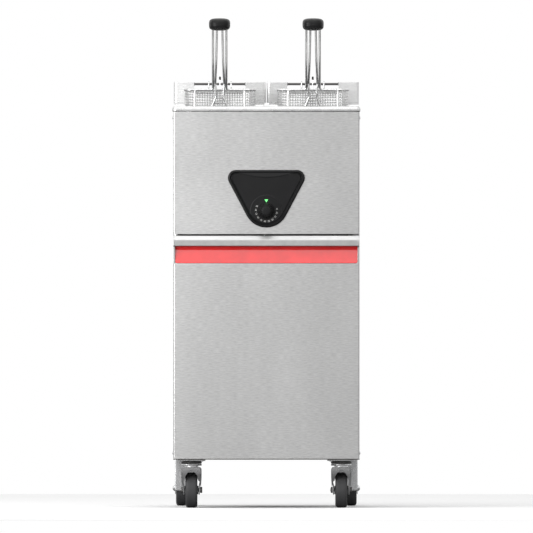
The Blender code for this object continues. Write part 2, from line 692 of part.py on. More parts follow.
def make_roller(label, side):
    x, y = side * ROLLER[0], ROLLER[1]
    name = f"roller_{label}"
    axle = (x, y, WHEEL_R)
    top = 0.1033
    front = y - 0.0415
    outline = [
        (front, top),
        (front, 0.0328),
        (front + 0.012, 0.0280),
        *arc((y, WHEEL_R), 0.013, 230, 330, 5),
        (y + 0.032, 0.070),
        (y + 0.041, 0.084),
        (y + 0.041, top),
    ]
    bracket = piece(
        f"{name}_bracket", prism(outline, "x", x - ROLLER_HALF_WIDTH, x + ROLLER_HALF_WIDTH), ZINC
    )
    wall = 0.0015
    pocket = box(
        (x - ROLLER_HALF_WIDTH + wall, front + wall, 0.0),
        (x + ROLLER_HALF_WIDTH - wall, y + 0.060, top - 0.0025),
    )
    bolt_hole = rod((x - 0.03, *axle[1:]), (x + 0.03, *axle[1:]), AXLE_R + GAP, 16)
    combine(bracket, "DIFFERENCE", pocket=pocket, bolt_hole=bolt_hole)

    cheek = ROLLER_HALF_WIDTH + GAP
    reach = 0.2032 - ROLLER[0]
    bolt = [(0, -reach + 0.001), (0.005, -reach + 0.001), (0.0065, -cheek), (AXLE_R, -cheek)]
    cap = [(AXLE_R, cheek), (0.0065, cheek), (0.0058, reach - 0.001), (0.003, reach), (0, reach)]
    piece(f"{name}_axle", turned(bolt + cap, axle, (side, 0, 0), 16), ZINC)
    spin = pivot(f"{name}_wheel_axis", axle)
    wheel_pieces(name, axle, ROLLER_WHEEL_HALF, ROLLER_WHEEL_HALF, spin)


def basket_outline(x, grow, steps=4):
    half = BASKET_HALF_WIDTH + grow
    return rounded_rectangle(
        (x - half, BASKET_Y[0] - grow), (x + half, BASKET_Y[1] + grow), BASKET_CORNER + grow, steps
    )


def hook_line(x):
    """From the rim wire, up and over the hanger bar and down behind it."""
    reach = BAR_R + HOOK_R + 0.0005
    over = [(x, y, z) for y, z in arc(BAR, reach, 180, 0, 4)]
    start = [(x, BASKET_Y[1] + 0.001, RIM_WIRE_Z), (x, BAR[0] - 0.014, 0.9065)]
    return [*start, *over, (x, BAR[0] + reach, 0.9085)]


def make_basket(label, side):
    x = side * BASKET_X
    name = f"basket_{label}"
    lift = pivot(f"{name}_lift_axis", (x, sum(BASKET_Y) / 2, RIM_WIRE_Z))

    walls = loft([level(basket_outline(x, 0), z) for z in BASKET_Z])
    mesh = piece(f"{name}_mesh", walls, POLISHED, lift)
    inside = [level(basket_outline(x, -BASKET_WALL), z) for z in (BASKET_Z[0] + BASKET_WALL, 0.95)]
    combine(mesh, "DIFFERENCE", hollow=loft(inside))

    rim = tube(level(basket_outline(x, 0.0004), RIM_WIRE_Z), WIRE_R, ring=True)
    rim_piece = piece(f"{name}_rim", rim, POLISHED, lift)
    for mark, across in (("a", -HOOK_X), ("b", HOOK_X)):
        combine(rim_piece, "UNION", **{f"hook_{mark}": tube(hook_line(x + across), HOOK_R)})

    bar_y = BASKET_Y[0] - 0.0004 - 2 * WIRE_R - GAP
    top_y = bar_y - HANDLE_LEAN
    grip_y = top_y - 0.020
    half = [
        (OUTER_WIRE_X, grip_y + GAP, GRIP_Z),
        (OUTER_WIRE_X, top_y, GRIP_Z),
        (OUTER_WIRE_X, bar_y, 0.8996),
        (HANDLE_BAR_X, bar_y, 0.8996),
        (HANDLE_BAR_X, bar_y, BASKET_Z[0] + 0.004),
    ]
    other = [(-a, b, c) for a, b, c in reversed(half)]
    outer = bent([(x + a, b, c) for a, b, c in half + other], 0.006, 3)
    handle = piece(f"{name}_handle", tube(outer, WIRE_R), POLISHED, lift)
    lean = HANDLE_LEAN / (GRIP_Z - 0.8996)
    for mark, way in (("a", -1), ("b", 1)):
        inner = [
            (x + way * 0.0056, grip_y + GAP, GRIP_Z),
            (x + way * 0.0056, top_y, GRIP_Z),
            (x + way * 0.0074, bar_y - lean * 0.062, 0.962),
            (x + way * 0.0097, bar_y - lean * 0.012, 0.912),
            (x + way * 0.0080, bar_y, 0.8846),
            (x + way * 0.0500, bar_y, BASKET_Z[0] + 0.004),
        ]
        combine(handle, "UNION", **{f"wire_{mark}": tube(bent(inner, 0.006, 2), WIRE_R)})

    def squared(value):
        return math.copysign(abs(value) ** 0.62, value)

    def grip_section(scale, y):
        angles = [2 * math.pi * i / 20 for i in range(20)]
        wide, high = GRIP_HALF_WIDTH * scale, GRIP_HALF_HEIGHT * scale
        return [(x + squared(math.cos(a)) * wide, y, GRIP_Z + squared(math.sin(a)) * high) for a in angles]

    steps = ((0.70, 0), (0.88, 0.006), (0.97, 0.030), (1.0, 0.070), (1.0, 0.099), (0.90, GRIP_LENGTH))
    grip = loft([grip_section(scale, grip_y - reach) for scale, reach in steps])
    piece(f"{name}_grip", grip, BLACK_PLASTIC, lift)


clear_scene()
make_cabinet()
make_deck()
make_tank()
make_upstands()
make_heating()
make_drain()
make_bucket()
make_door()
make_control()
make_electrics()
for side_label, side_sign in SIDES:
    make_castor(side_label, side_sign)
    make_roller(side_label, side_sign)
    make_basket(side_label, side_sign)
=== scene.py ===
"""A free-standing electric deep fryer in stainless steel: two hung wire baskets over one oil tank, a control
panel with a thermostat knob, and a cabinet with a door, on castors in front and fixed rollers behind."""

import json
import math

import bmesh
import bpy
from mathutils import Matrix, Vector


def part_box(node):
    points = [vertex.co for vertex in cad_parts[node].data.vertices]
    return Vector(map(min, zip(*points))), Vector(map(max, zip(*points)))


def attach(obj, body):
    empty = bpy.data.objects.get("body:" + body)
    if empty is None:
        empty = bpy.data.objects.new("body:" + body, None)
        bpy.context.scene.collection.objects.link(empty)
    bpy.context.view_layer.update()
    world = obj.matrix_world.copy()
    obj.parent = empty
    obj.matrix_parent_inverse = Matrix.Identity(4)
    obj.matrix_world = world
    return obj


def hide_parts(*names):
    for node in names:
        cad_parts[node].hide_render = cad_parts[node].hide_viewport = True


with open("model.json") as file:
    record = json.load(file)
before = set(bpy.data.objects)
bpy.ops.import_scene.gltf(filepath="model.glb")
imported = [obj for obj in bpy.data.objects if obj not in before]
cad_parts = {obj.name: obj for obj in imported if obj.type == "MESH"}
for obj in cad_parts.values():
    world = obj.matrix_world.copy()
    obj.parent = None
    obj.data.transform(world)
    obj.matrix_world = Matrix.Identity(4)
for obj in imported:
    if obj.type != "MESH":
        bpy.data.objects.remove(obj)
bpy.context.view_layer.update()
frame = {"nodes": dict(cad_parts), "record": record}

SIDES = (("left", -1), ("right", 1))
SHEET = 0.0015  # stainless sheet
GAP = 0.0003  # clearance between pieces that touch
TOUCH = 1e-5  # closer than this is the same place

MOUTH = ((-0.184, -0.215), (0.184, 0.236))  # the tank's inside, seen from above
MOUTH_CORNER = 0.025
BEZEL_CORNERS = ((0.0655, 0.7087, 0.0172), (-0.0655, 0.7087, 0.0172), (0.0, 0.6497, 0.0476))
UPSTAND_DEPTH = 0.048
NOTCH_X, NOTCH_Z = (0.045, 0.157), 0.904
WIRE_R = 0.0025
RIM_Z = 0.8996
MESH_PITCH = 0.0057
MESH_R = 0.0010


# ---------------------------------------------------------------- bench tools

def at(axis, a, b, along):
    """A point from its place in a plane and its place along the axis square to that plane."""
    return Vector({"x": (along, a, b), "y": (a, along, b), "z": (a, b, along)}[axis])


def verts_of(made):
    return [part for part in made if isinstance(part, bmesh.types.BMVert)]


def edges_where(shape, *tests):
    """The edges whose two ends pass every test."""
    return [e for e in shape.edges if all(test(e.verts[0].co, e.verts[1].co) for test in tests)]


def along(axis):
    others = [i for i in range(3) if i != "xyz".index(axis)]
    return lambda a, b: all(abs(a[i] - b[i]) < TOUCH for i in others)


def lying_at(axis, place):
    i = "xyz".index(axis)
    return lambda a, b: abs(a[i] - place) < TOUCH and abs(b[i] - place) < TOUCH


def outward(shape):
    bmesh.ops.recalc_face_normals(shape, faces=shape.faces)
    return shape


def moved(shape, matrix):
    bmesh.ops.transform(shape, matrix=matrix, verts=shape.verts)
    return shape


def rounded(shape, edges, radius, segments=4):
    bmesh.ops.bevel(
        shape, geom=edges, offset=radius, segments=segments, profile=0.5, affect="EDGES", material=-1
    )
    return shape


def softened(shape, radius, segments=2, sharper_than=32):
    """Breaks every edge that is sharper than an angle in degrees."""
    limit = math.radians(sharper_than)
    edges = [e for e in shape.edges if e.is_manifold and e.calc_face_angle() > limit]
    bmesh.ops.bevel(
        shape, geom=edges, offset=radius, segments=segments, profile=0.5, affect="EDGES",
        clamp_overlap=True, material=-1
    )
    return shape


def walled(shape, wall):
    """Gives an open skin its wall: inwards from its outer side, or outwards if the wall is negative."""
    outward(shape)
    bmesh.ops.solidify(shape, geom=list(shape.faces), thickness=wall)
    if wall < 0:
        bmesh.ops.reverse_faces(shape, faces=list(shape.faces))
    return shape


def slab(low, high):
    shape = bmesh.new()
    low, high = Vector(low), Vector(high)
    place = Matrix.Translation((low + high) / 2) @ Matrix.Diagonal((*(high - low), 1))
    bmesh.ops.create_cube(shape, size=1, matrix=place)
    return shape


def plate(corners, axis, start, end, segments=5):
    """A plate cut to corners of (a, b, radius), with its thickness along one axis."""
    shape = bmesh.new()
    verts = [shape.verts.new(at(axis, a, b, start)) for a, b, _ in corners]
    shape.faces.new(verts)
    for vert, (_, _, radius) in zip(verts, corners):
        if radius:
            bmesh.ops.bevel(
                shape, geom=[vert], offset=radius, segments=segments, profile=0.5, affect="VERTICES",
                material=-1
            )
    made = bmesh.ops.extrude_face_region(shape, geom=list(shape.faces))["geom"]
    bmesh.ops.translate(shape, verts=verts_of(made), vec=at(axis, 0, 0, end - start))
    return outward(shape)


def round_loop(shape, low, high, radius, z, segments=6):
    """The edges of a level rectangle with round corners."""
    others = set(shape.faces)
    corners = ((low[0], low[1]), (high[0], low[1]), (high[0], high[1]), (low[0], high[1]))
    verts = [shape.verts.new((x, y, z)) for x, y in corners]
    shape.faces.new(verts)
    bmesh.ops.bevel(
        shape, geom=verts, offset=radius, segments=segments, profile=0.5, affect="VERTICES", material=-1
    )
    face = next(f for f in shape.faces if f not in others)
    edges = list(face.edges)
    bmesh.ops.delete(shape, geom=[face], context="FACES_ONLY")
    return edges


def pulled(shape, edges, move=(0, 0, 0), grow=None):
    """Draws a row of edges along, leaving a wall behind it, and gives the new row."""
    verts = verts_of(bmesh.ops.extrude_edge_only(shape, edges=edges)["geom"])
    if grow is not None:
        lows, highs = ([f(v.co[i] for v in verts) for i in range(3)] for f in (min, max))
        middle = (Vector(lows) + Vector(highs)) / 2
        sizes = [(1 + 2 * grow / (highs[i] - lows[i])) if highs[i] - lows[i] > TOUCH else 1 for i in range(3)]
        bmesh.ops.scale(shape, vec=sizes, space=Matrix.Translation(-middle), verts=verts)
    bmesh.ops.translate(shape, verts=verts, vec=move)
    new = set(verts)
    return [e for e in shape.edges if e.verts[0] in new and e.verts[1] in new]


def lofted(shape, levels, segments=6):
    """Skins a stack of level rectangles, each (low, high, corner radius, z), and gives their edges."""
    rows = [round_loop(shape, low, high, radius, z, segments) for low, high, radius, z in levels]
    for row, after in zip(rows, rows[1:]):
        bmesh.ops.bridge_loops(shape, edges=row + after)
    return rows


def arc(centre, radius, start, end, steps=6):
    """Points (a, b) of an arc between two angles in degrees."""
    angles = [math.radians(start + (end - start) * i / steps) for i in range(steps + 1)]
    return [(centre[0] + radius * math.cos(a), centre[1] + radius * math.sin(a)) for a in angles]


def filled(shape, edges):
    bmesh.ops.edgeloop_fill(shape, edges=edges)


def lathe(profile, centre, axis, steps=48):
    """A profile of (radius, height) turned about an axis. It ends on the axis, or closes on itself."""
    shape = bmesh.new()
    verts = [shape.verts.new((radius, 0, height)) for radius, height in profile]
    edges = [shape.edges.new(ends) for ends in zip(verts, verts[1:])]
    if profile[0][0] > 0:
        edges.append(shape.edges.new((verts[-1], verts[0])))
    bmesh.ops.spin(
        shape, geom=verts + edges, cent=(0, 0, 0), axis=(0, 0, 1), angle=2 * math.pi, steps=steps,
        use_merge=True
    )
    bmesh.ops.remove_doubles(shape, verts=shape.verts, dist=1e-6)
    turn = Vector((0, 0, 1)).rotation_difference(Vector(axis)).to_matrix().to_4x4()
    return outward(moved(shape, Matrix.Translation(centre) @ turn))


def rod(radius, start, end, centre, axis, steps=24):
    """A bar turned along an axis, between two distances from its centre."""
    return lathe([(0, start), (radius, start), (radius, end), (0, end)], centre, axis, steps)


def corners_of(low, high, radius):
    """The corners of a level rectangle, ready for a plate."""
    spots = ((low.x, low.y), (high.x, low.y), (high.x, high.y), (low.x, high.y))
    return [(*spot, radius) for spot in spots]


def both_sides(x, half):
    """A half outline and its mirror image about a middle."""
    return [(x + a, *rest) for a, *rest in half] + [(x - a, *rest) for a, *rest in reversed(half)]


def wire(points, radius, bend=0.006, sides=10, steps=4, ring=False):
    """A round wire that runs straight between points and is bent round an arc at each one."""
    points = [Vector(point) for point in points]
    shape = bmesh.new()
    facing = Vector((0, 0, 1)).rotation_difference(points[1] - points[0]).to_matrix().to_4x4()
    bmesh.ops.create_circle(
        shape, segments=sides, radius=radius, matrix=Matrix.Translation(points[0]) @ facing
    )
    row, tip = list(shape.edges), points[0]
    for before, corner, after in zip(points, points[1:], points[2:]):
        run, leave = (corner - before).normalized(), (after - corner).normalized()
        turn = run.angle(leave)
        if turn < 0.02:
            continue
        setback = bend * math.tan(turn / 2)
        start = corner - run * setback
        if (start - tip).length > TOUCH:
            row = pulled(shape, row, start - tip)
        axle = run.cross(leave).normalized()
        ends = list({v for e in row for v in e.verts})
        made = bmesh.ops.spin(
            shape, geom=ends + row, cent=start + axle.cross(run) * bend, axis=axle, angle=turn, steps=steps
        )["geom_last"]
        row = [part for part in made if isinstance(part, bmesh.types.BMEdge)]
        tip = corner + leave * setback
    row = pulled(shape, row, points[-1] - tip)
    if ring:
        bmesh.ops.remove_doubles(shape, verts=shape.verts, dist=TOUCH)
    else:
        bmesh.ops.holes_fill(shape, edges=[e for e in shape.edges if e.is_boundary], sides=0)
    return outward(shape)


def ring_wire(low, high, z, corner, radius, sides=10, steps=5):
    """A wire bent into a level rectangle with round corners."""
    middle = (low[0] + high[0]) / 2
    plan = ((middle, low[1]), (high[0], low[1]), high, (low[0], high[1]), low, (middle, low[1]))
    return wire([(x, y, z) for x, y in plan], radius, corner, sides, steps, ring=True)


def joined(shapes):
    together = bmesh.new()
    for shape in shapes:
        mesh = bpy.data.meshes.new("bench")
        shape.to_mesh(mesh)
        shape.free()
        together.from_mesh(mesh)
        bpy.data.meshes.remove(mesh)
    return together


def repeated(shape, moves):
    """The shape with a copy of it at each move."""
    pattern = [*shape.verts, *shape.edges, *shape.faces]
    for move in moves:
        copy = bmesh.ops.duplicate(shape, geom=pattern)["geom"]
        bmesh.ops.translate(shape, verts=verts_of(copy), vec=move)
    return shape


def turned_copies(shape, centre, axis, count):
    """The shape repeated round an axis."""
    pattern = [*shape.verts, *shape.edges, *shape.faces]
    for i in range(1, count):
        copy = bmesh.ops.duplicate(shape, geom=pattern)["geom"]
        turn = Matrix.Rotation(2 * math.pi * i / count, 3, Vector(axis))
        bmesh.ops.rotate(shape, cent=centre, matrix=turn, verts=verts_of(copy))
    return shape


def loose(name, shape):
    mesh = bpy.data.meshes.new(name)
    shape.to_mesh(mesh)
    shape.free()
    obj = bpy.data.objects.new(name, mesh)
    bpy.context.scene.collection.objects.link(obj)
    return obj


def taken(obj, *tools):
    """The shape of an object once its modifiers have worked. The object and its tools are cleared away."""
    shape = bmesh.new()
    shape.from_object(obj, bpy.context.evaluated_depsgraph_get())
    for spent in (obj, *tools):
        mesh = spent.data
        bpy.data.objects.remove(spent)
        bpy.data.meshes.remove(mesh)
    return shape


def machined(shape, tools, operation="DIFFERENCE"):
    """The shape with tools cut away from it, or with only what it shares with them."""
    body, tool = loose("body", shape), loose("tool", joined(tools))
    step = body.modifiers.new("machine", "BOOLEAN")
    step.operation, step.solver, step.object = operation, "EXACT", tool
    return taken(body, tool)


def pan(low, high, corner, fold, wall=SHEET):
    """A sheet tray whose open side faces the back, with round upright corners and folded edges."""
    shape = slab(low, high)
    rounded(shape, edges_where(shape, along("z"), lying_at("y", low[1])), corner, 6)
    rounded(shape, edges_where(shape, along("x"), lying_at("y", low[1])), fold, 3)
    back = [f for f in shape.faces if all(abs(v.co.y - high[1]) < TOUCH for v in f.verts)]
    bmesh.ops.delete(shape, geom=back, context="FACES")
    return walled(shape, wall)


def bent_sheet(line, axis, start, end, bend, wall=SHEET):
    """A sheet folded along a line of (a, b) points, round at each fold."""
    shape = bmesh.new()
    verts = [shape.verts.new(at(axis, a, b, start)) for a, b in line]
    edges = [shape.edges.new(ends) for ends in zip(verts, verts[1:])]
    pulled(shape, edges, at(axis, 0, 0, end - start))
    rounded(shape, [e for e in edges_where(shape, along(axis)) if not e.is_boundary], bend, 4)
    return walled(shape, wall)


def tub(low, high, corner, wall, lip, segments=6):
    """A sheet container with a rolled rim turned outwards."""
    shape = bmesh.new()
    foot = round_loop(shape, low[:2], high[:2], corner, low[2], segments)
    filled(shape, foot)
    wall_top = pulled(shape, foot, (0, 0, high[2] - low[2]))
    rim = pulled(shape, wall_top, grow=lip)
    pulled(shape, rim, (0, 0, -lip * 0.6))
    rounded(shape, edges_where(shape, lying_at("z", low[2])), corner * 0.3, 4)
    creases = [e for e in edges_where(shape, lying_at("z", high[2])) if e.calc_face_angle(0) > 0.5]
    rounded(shape, creases, lip * 0.25, 3)
    return walled(shape, wall)


# ---------------------------------------------------------------- finishes

def node(tree, kind, inputs=None, **settings):
    """Adds a shader node. An input takes a value, or a socket that feeds it."""
    made = tree.nodes.new("ShaderNode" + kind)
    for name, value in settings.items():
        setattr(made, name, value)
    for name, value in (inputs or {}).items():
        if isinstance(value, bpy.types.NodeSocket):
            tree.links.new(value, made.inputs[name])
        else:
            made.inputs[name].default_value = value
    return made


def sums(tree, operation, first, second):
    return node(tree, "Math", {0: first, 1: second}, operation=operation).outputs[0]


def stretched(tree, vector, sizes):
    return node(tree, "VectorMath", {0: vector, 1: sizes}, operation="MULTIPLY").outputs[0]


def spread(tree, value, low, high, start=0.0, end=1.0):
    inputs = {"Value": value, "From Min": low, "From Max": high, "To Min": start, "To Max": end}
    return node(tree, "MapRange", inputs).outputs[0]


def mottle(tree, vector, size, detail=2.0, rough=0.5):
    inputs = {"Vector": vector, "Scale": size, "Detail": detail, "Roughness": rough}
    return node(tree, "TexNoise", inputs).outputs["Fac"]


def effect(name, takes, gives, build):
    """A shader node group with named inputs and outputs."""
    tree = bpy.data.node_groups.new(name, "ShaderNodeTree")
    for label, (kind, value) in takes.items():
        socket = tree.interface.new_socket(label, in_out="INPUT", socket_type=kind)
        if value is not None:
            socket.default_value = value
    for label in gives:
        tree.interface.new_socket(label, in_out="OUTPUT", socket_type="NodeSocketFloat")
    start, end = tree.nodes.new("NodeGroupInput"), tree.nodes.new("NodeGroupOutput")
    for label, socket in zip(gives, build(tree, start.outputs)):
        tree.links.new(socket, end.inputs[label])
    return tree


def grain_of_brushing(tree, takes):
    lines = mottle(tree, stretched(tree, takes["Vector"], (12, 12, 1800)), 1.0, 3.0, 0.6)
    tone = mottle(tree, stretched(tree, takes["Vector"], (80, 80, 520)), 1.0, 2.0, 0.6)
    return lines, tone


# Edge mask: it marks rubbed wear, and it also paints a highlight where light would catch an edge.
def worn_and_highlit_edges(tree, takes):
    soft = node(tree, "Bevel", {"Radius": takes["Reach"]}, samples=4).outputs[0]
    flat = node(tree, "NewGeometry").outputs["Normal"]
    match = node(tree, "VectorMath", {0: soft, 1: flat}, operation="DOT_PRODUCT").outputs["Value"]
    edge = spread(tree, match, 0.995, 0.86)
    patchy = spread(tree, mottle(tree, takes["Vector"], 70.0, 3.0), 0.35, 0.62)
    return (sums(tree, "MULTIPLY", edge, patchy),)


def settled_dust(tree, takes):
    normal = node(tree, "NewGeometry").outputs["Normal"]
    upward = spread(tree, node(tree, "SeparateXYZ", {0: normal}).outputs["Z"], 0.45, 1.0)
    specks = spread(tree, mottle(tree, takes["Vector"], 320.0, 4.0, 0.7), 0.42, 0.75)
    drifts = spread(tree, mottle(tree, takes["Vector"], 9.0, 3.0), 0.3, 0.75)
    return (sums(tree, "MULTIPLY", upward, sums(tree, "MULTIPLY", specks, drifts)),)


def wiped_smears(tree, takes):
    swirl = mottle(tree, stretched(tree, takes["Vector"], (1, 1, 0.45)), 11.0, 5.0, 0.55)
    patch = mottle(tree, takes["Vector"], 3.2, 2.0)
    return (sums(tree, "MULTIPLY", spread(tree, swirl, 0.38, 0.72), spread(tree, patch, 0.3, 0.7)),)


PLACE = {"Vector": ("NodeSocketVector", None)}
BRUSHING = effect("brushed_grain", PLACE, ("Lines", "Tone"), grain_of_brushing)
WEAR_AND_HIGHLIGHT = effect("edge_wear_and_highlight", {**PLACE, "Reach": ("NodeSocketFloat", 0.001)}, ("WearAndHighlight",), worn_and_highlit_edges)
DUST = effect("settled_dust", PLACE, ("Dust",), settled_dust)
SMEARS = effect("wiped_smears", PLACE, ("Smear",), wiped_smears)


DUST_ON_METAL = (0.42, 0.40, 0.37)
SHEET_DUST = 0.25  # how much of it lies on a level sheet
UNEVEN_GLOSS = 0.10  # how far the roughness of a brushed sheet wanders


def placed(tree, group, vector, **values):
    made = node(tree, "Group", node_tree=group)
    tree.links.new(vector, made.inputs["Vector"])
    for name, value in values.items():
        made.inputs[name].default_value = value
    return made.outputs


def tinted(tree, factor, first, second):
    """Mixes two colours."""
    made = node(tree, "Mix", {"Factor": factor}, data_type="RGBA")
    for socket, colour in zip((s for s in made.inputs if s.type == "RGBA"), (first, second)):
        if isinstance(colour, bpy.types.NodeSocket):
            tree.links.new(colour, socket)
        else:
            socket.default_value = (*colour, 1)
    return next(s for s in made.outputs if s.type == "RGBA")


def recipe(name, turn=(0, 0, 0)):
    """A new material: its node tree, its shader, and object coordinates turned for its grain."""
    made = bpy.data.materials.new(name)
    made.use_nodes = True
    tree = made.node_tree
    place = node(tree, "TexCoord").outputs["Object"]
    vector = node(tree, "Mapping", {"Vector": place, "Rotation": turn}).outputs[0]
    return made, tree, tree.nodes["Principled BSDF"], vector


def constants(shader, **values):
    for name, value in values.items():
        shader.inputs[name.replace("_", " ")].default_value = value


def over(tree, mask, amount, colour, top):
    """Lays a colour over another one where a mask says so."""
    return tinted(tree, sums(tree, "MULTIPLY", mask, amount), colour, top)


def roughened(tree, gloss, mask, amount):
    return sums(tree, "ADD", gloss, sums(tree, "MULTIPLY", mask, amount))


def marks_of_use(tree, vector, reach):
    """Where a surface is smeared, worn along its edges as far in as a reach, with a painted highlight on
    those same edges, and dusty.
    """
    worn_and_highlit = placed(tree, WEAR_AND_HIGHLIGHT, vector, Reach=reach)["WearAndHighlight"]
    return placed(tree, SMEARS, vector)["Smear"], worn_and_highlit, placed(tree, DUST, vector)["Dust"]


def surfaced(tree, shader, colour, gloss, height, strength, distance=0.0002):
    """Feeds a shader its colour, its roughness and the relief of its surface."""
    bump = node(tree, "Bump", {"Height": height, "Strength": strength, "Distance": distance})
    for socket, value in (("Base Color", colour), ("Roughness", gloss), ("Normal", bump.outputs[0])):
        tree.links.new(value, shader.inputs[socket])


def steel(name, light, dark, roughness, turn=(0, 0, 0), relief=0.10):
    """Sheet or bar metal with brushing lines, wiped smears, bright edges that are partly wear and partly a
    painted highlight, and a little dust.
    """
    made, tree, shader, vector = recipe(name, turn)
    grain = placed(tree, BRUSHING, vector)
    smear, worn_and_highlit, dusty = marks_of_use(tree, vector, 0.0009)
    colour = tinted(tree, grain["Tone"], dark, light)
    # Pale edges: partly wear, partly a painted highlight.
    colour = over(tree, worn_and_highlit, 0.35, colour, (0.86, 0.86, 0.85))
    colour = over(tree, dusty, SHEET_DUST, colour, DUST_ON_METAL)
    low, high = roughness - UNEVEN_GLOSS / 2, roughness + UNEVEN_GLOSS / 2
    gloss = spread(tree, grain["Lines"], 0.25, 0.75, low, high)
    gloss = roughened(tree, roughened(tree, gloss, smear, UNEVEN_GLOSS), dusty, SHEET_DUST)
    surfaced(tree, shader, colour, gloss, grain["Lines"], relief)
    constants(shader, Metallic=1.0)
    return made


def plated(name, light, dark, roughness, dust=0.2):
    """Plated or drawn metal: smooth and cloudy, with bright edges that are partly wear and partly a painted
    highlight, and dust where it faces up.
    """
    made, tree, shader, vector = recipe(name)
    cloud = mottle(tree, vector, 45.0, 3.0, 0.5)
    smear, worn_and_highlit, dusty = marks_of_use(tree, vector, 0.0006)
    colour = tinted(tree, spread(tree, cloud, 0.3, 0.7), dark, light)
    colour = over(tree, worn_and_highlit, 0.5, colour, (0.92, 0.92, 0.92))
    colour = over(tree, dusty, dust, colour, DUST_ON_METAL)
    gloss = spread(tree, cloud, 0.3, 0.7, roughness, roughness + 0.08)
    surfaced(tree, shader, colour, roughened(tree, gloss, smear, 0.12), cloud, 0.05)
    constants(shader, Metallic=1.0)
    return made


def moulded(name, colour, worn_and_highlight_colour, roughness, grain=900.0, relief=0.25, dust=0.3, **extra):
    """Plastic or rubber with a fine moulded texture, paler edges that are partly wear and partly a painted
    highlight, and a little dust.
    """
    made, tree, shader, vector = recipe(name)
    pores = mottle(tree, vector, grain, 3.0, 0.6)
    cloud = mottle(tree, vector, 24.0, 3.0)
    smear, worn_and_highlit, dusty = marks_of_use(tree, vector, 0.0008)
    base = tinted(tree, spread(tree, cloud, 0.3, 0.7), [c * 0.86 for c in colour], [c * 1.12 for c in colour])
    # Paler edges: partly wear, partly a painted highlight.
    base = over(tree, worn_and_highlit, 0.6, base, worn_and_highlight_colour)
    base = over(tree, dusty, dust, base, (0.36, 0.34, 0.31))
    gloss = spread(tree, pores, 0.3, 0.7, roughness - 0.05, roughness + 0.07)
    surfaced(tree, shader, base, roughened(tree, gloss, smear, 0.10), pores, relief, 0.0001)
    constants(shader, **extra)
    return made


def perforated(name):
    """Bright sheet with rows of fine round holes painted as dark spots, painted shade for what is seen
    through them.
    """
    made, tree, shader, vector = recipe(name)
    rows = node(tree, "TexVoronoi", {"Vector": vector, "Scale": 260.0, "Randomness": 0.0})
    metal = spread(tree, rows.outputs["Distance"], 0.26, 0.32)
    smear = placed(tree, SMEARS, vector)["Smear"]
    # The near-black colour in the holes is painted shade.
    colour = tinted(tree, metal, (0.05, 0.05, 0.05), (0.64, 0.64, 0.63))
    surfaced(tree, shader, colour, roughened(tree, 0.28, smear, 0.2), metal, 0.6, 0.0004)
    constants(shader, Metallic=1.0)
    return made


def lit_lens(name):
    """Clear green plastic over a pilot lamp, glowing with a fine cloudy tone."""
    made, tree, shader, vector = recipe(name)
    cloud = mottle(tree, vector, 600.0, 2.0)
    for socket, first, second in (
        ("Base Color", (0.03, 0.60, 0.10), (0.12, 0.85, 0.22)),
        ("Emission Color", (0.10, 0.85, 0.14), (0.45, 1.0, 0.45))
    ):
        tree.links.new(tinted(tree, cloud, first, second), shader.inputs[socket])
    constants(shader, Roughness=0.12, Emission_Strength=0.75, Coat_Weight=0.6)
    return made


LEVEL_GRAIN = (math.radians(90), 0, 0)
FINISHES = {
    "cabinet_steel": steel("cabinet_steel", (0.80, 0.80, 0.795), (0.42, 0.42, 0.42), 0.36),
    "polished_steel": steel(
        "polished_steel", (0.86, 0.86, 0.855), (0.62, 0.62, 0.62), 0.25, LEVEL_GRAIN, 0.06
    ),
    # A darker copy of the sheet steel: painted shade on the door pull's nose.
    "pull_steel_painted_shade": steel("pull_steel_painted_shade", (0.64, 0.64, 0.635), (0.48, 0.48, 0.48), 0.32, LEVEL_GRAIN, 0.06),
    # A brighter copy of the sheet steel: painted light on the upstands.
    "upstand_steel_painted_bright": steel("upstand_steel_painted_bright", (0.98, 0.98, 0.975), (0.80, 0.80, 0.80), 0.28),
    "dark_steel": steel("dark_steel", (0.17, 0.165, 0.16), (0.10, 0.10, 0.10), 0.42, relief=0.2),
    "zinc_plate": plated("zinc_plate", (0.82, 0.82, 0.825), (0.72, 0.725, 0.735), 0.22),
    "wire_chrome": plated("wire_chrome", (0.90, 0.90, 0.90), (0.74, 0.74, 0.74), 0.15, 0.1),
    # The pale edge colour of the black plastic also paints the light line along the bezel's crest, a painted
    # highlight.
    "black_plastic": moulded(
        "black_plastic", (0.0085, 0.0085, 0.009), (0.07, 0.07, 0.07), 0.38, Specular_IOR_Level=0.22
    ),
    "grey_plastic": moulded("grey_plastic", (0.16, 0.165, 0.17), (0.30, 0.30, 0.30), 0.5),
    "tyre_rubber": moulded("tyre_rubber", (0.050, 0.050, 0.052), (0.12, 0.12, 0.12), 0.62, 500.0, 0.4, 0.5),
    "red_trim": moulded(
        "red_trim", (0.80, 0.010, 0.012), (0.85, 0.10, 0.10), 0.30, 1200.0, 0.05, 0.1,
        Coat_Weight=1.0, Coat_Roughness=0.04, Coat_IOR=1.8, Specular_IOR_Level=0.0
    ),
    "lever_red": moulded("lever_red", (0.50, 0.020, 0.015), (0.60, 0.12, 0.10), 0.33, Coat_Weight=0.4),
    "white_insulator": moulded("white_insulator", (0.80, 0.79, 0.75), (0.85, 0.85, 0.82), 0.55),
    "dial_ink": moulded("dial_ink", (0.62, 0.62, 0.60), (0.70, 0.70, 0.70), 0.5),
    "green_lens": lit_lens("green_lens"),
    "pierced_sheet": perforated("pierced_sheet"),
}


def fitted(name, shape, finish, body, *nodes, smooth=38):
    """A finished piece in its place: its material, its body, and the CAD nodes that it stands for."""
    obj = loose(name, shape)
    obj.data.materials.append(FINISHES[finish])
    obj.data.shade_smooth()
    obj.data.set_sharp_from_angle(angle=math.radians(smooth))
    even = obj.modifiers.new("even_shading", "WEIGHTED_NORMAL")
    even.keep_sharp = True
    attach(obj, body)
    if nodes:
        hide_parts(*nodes)
    return obj


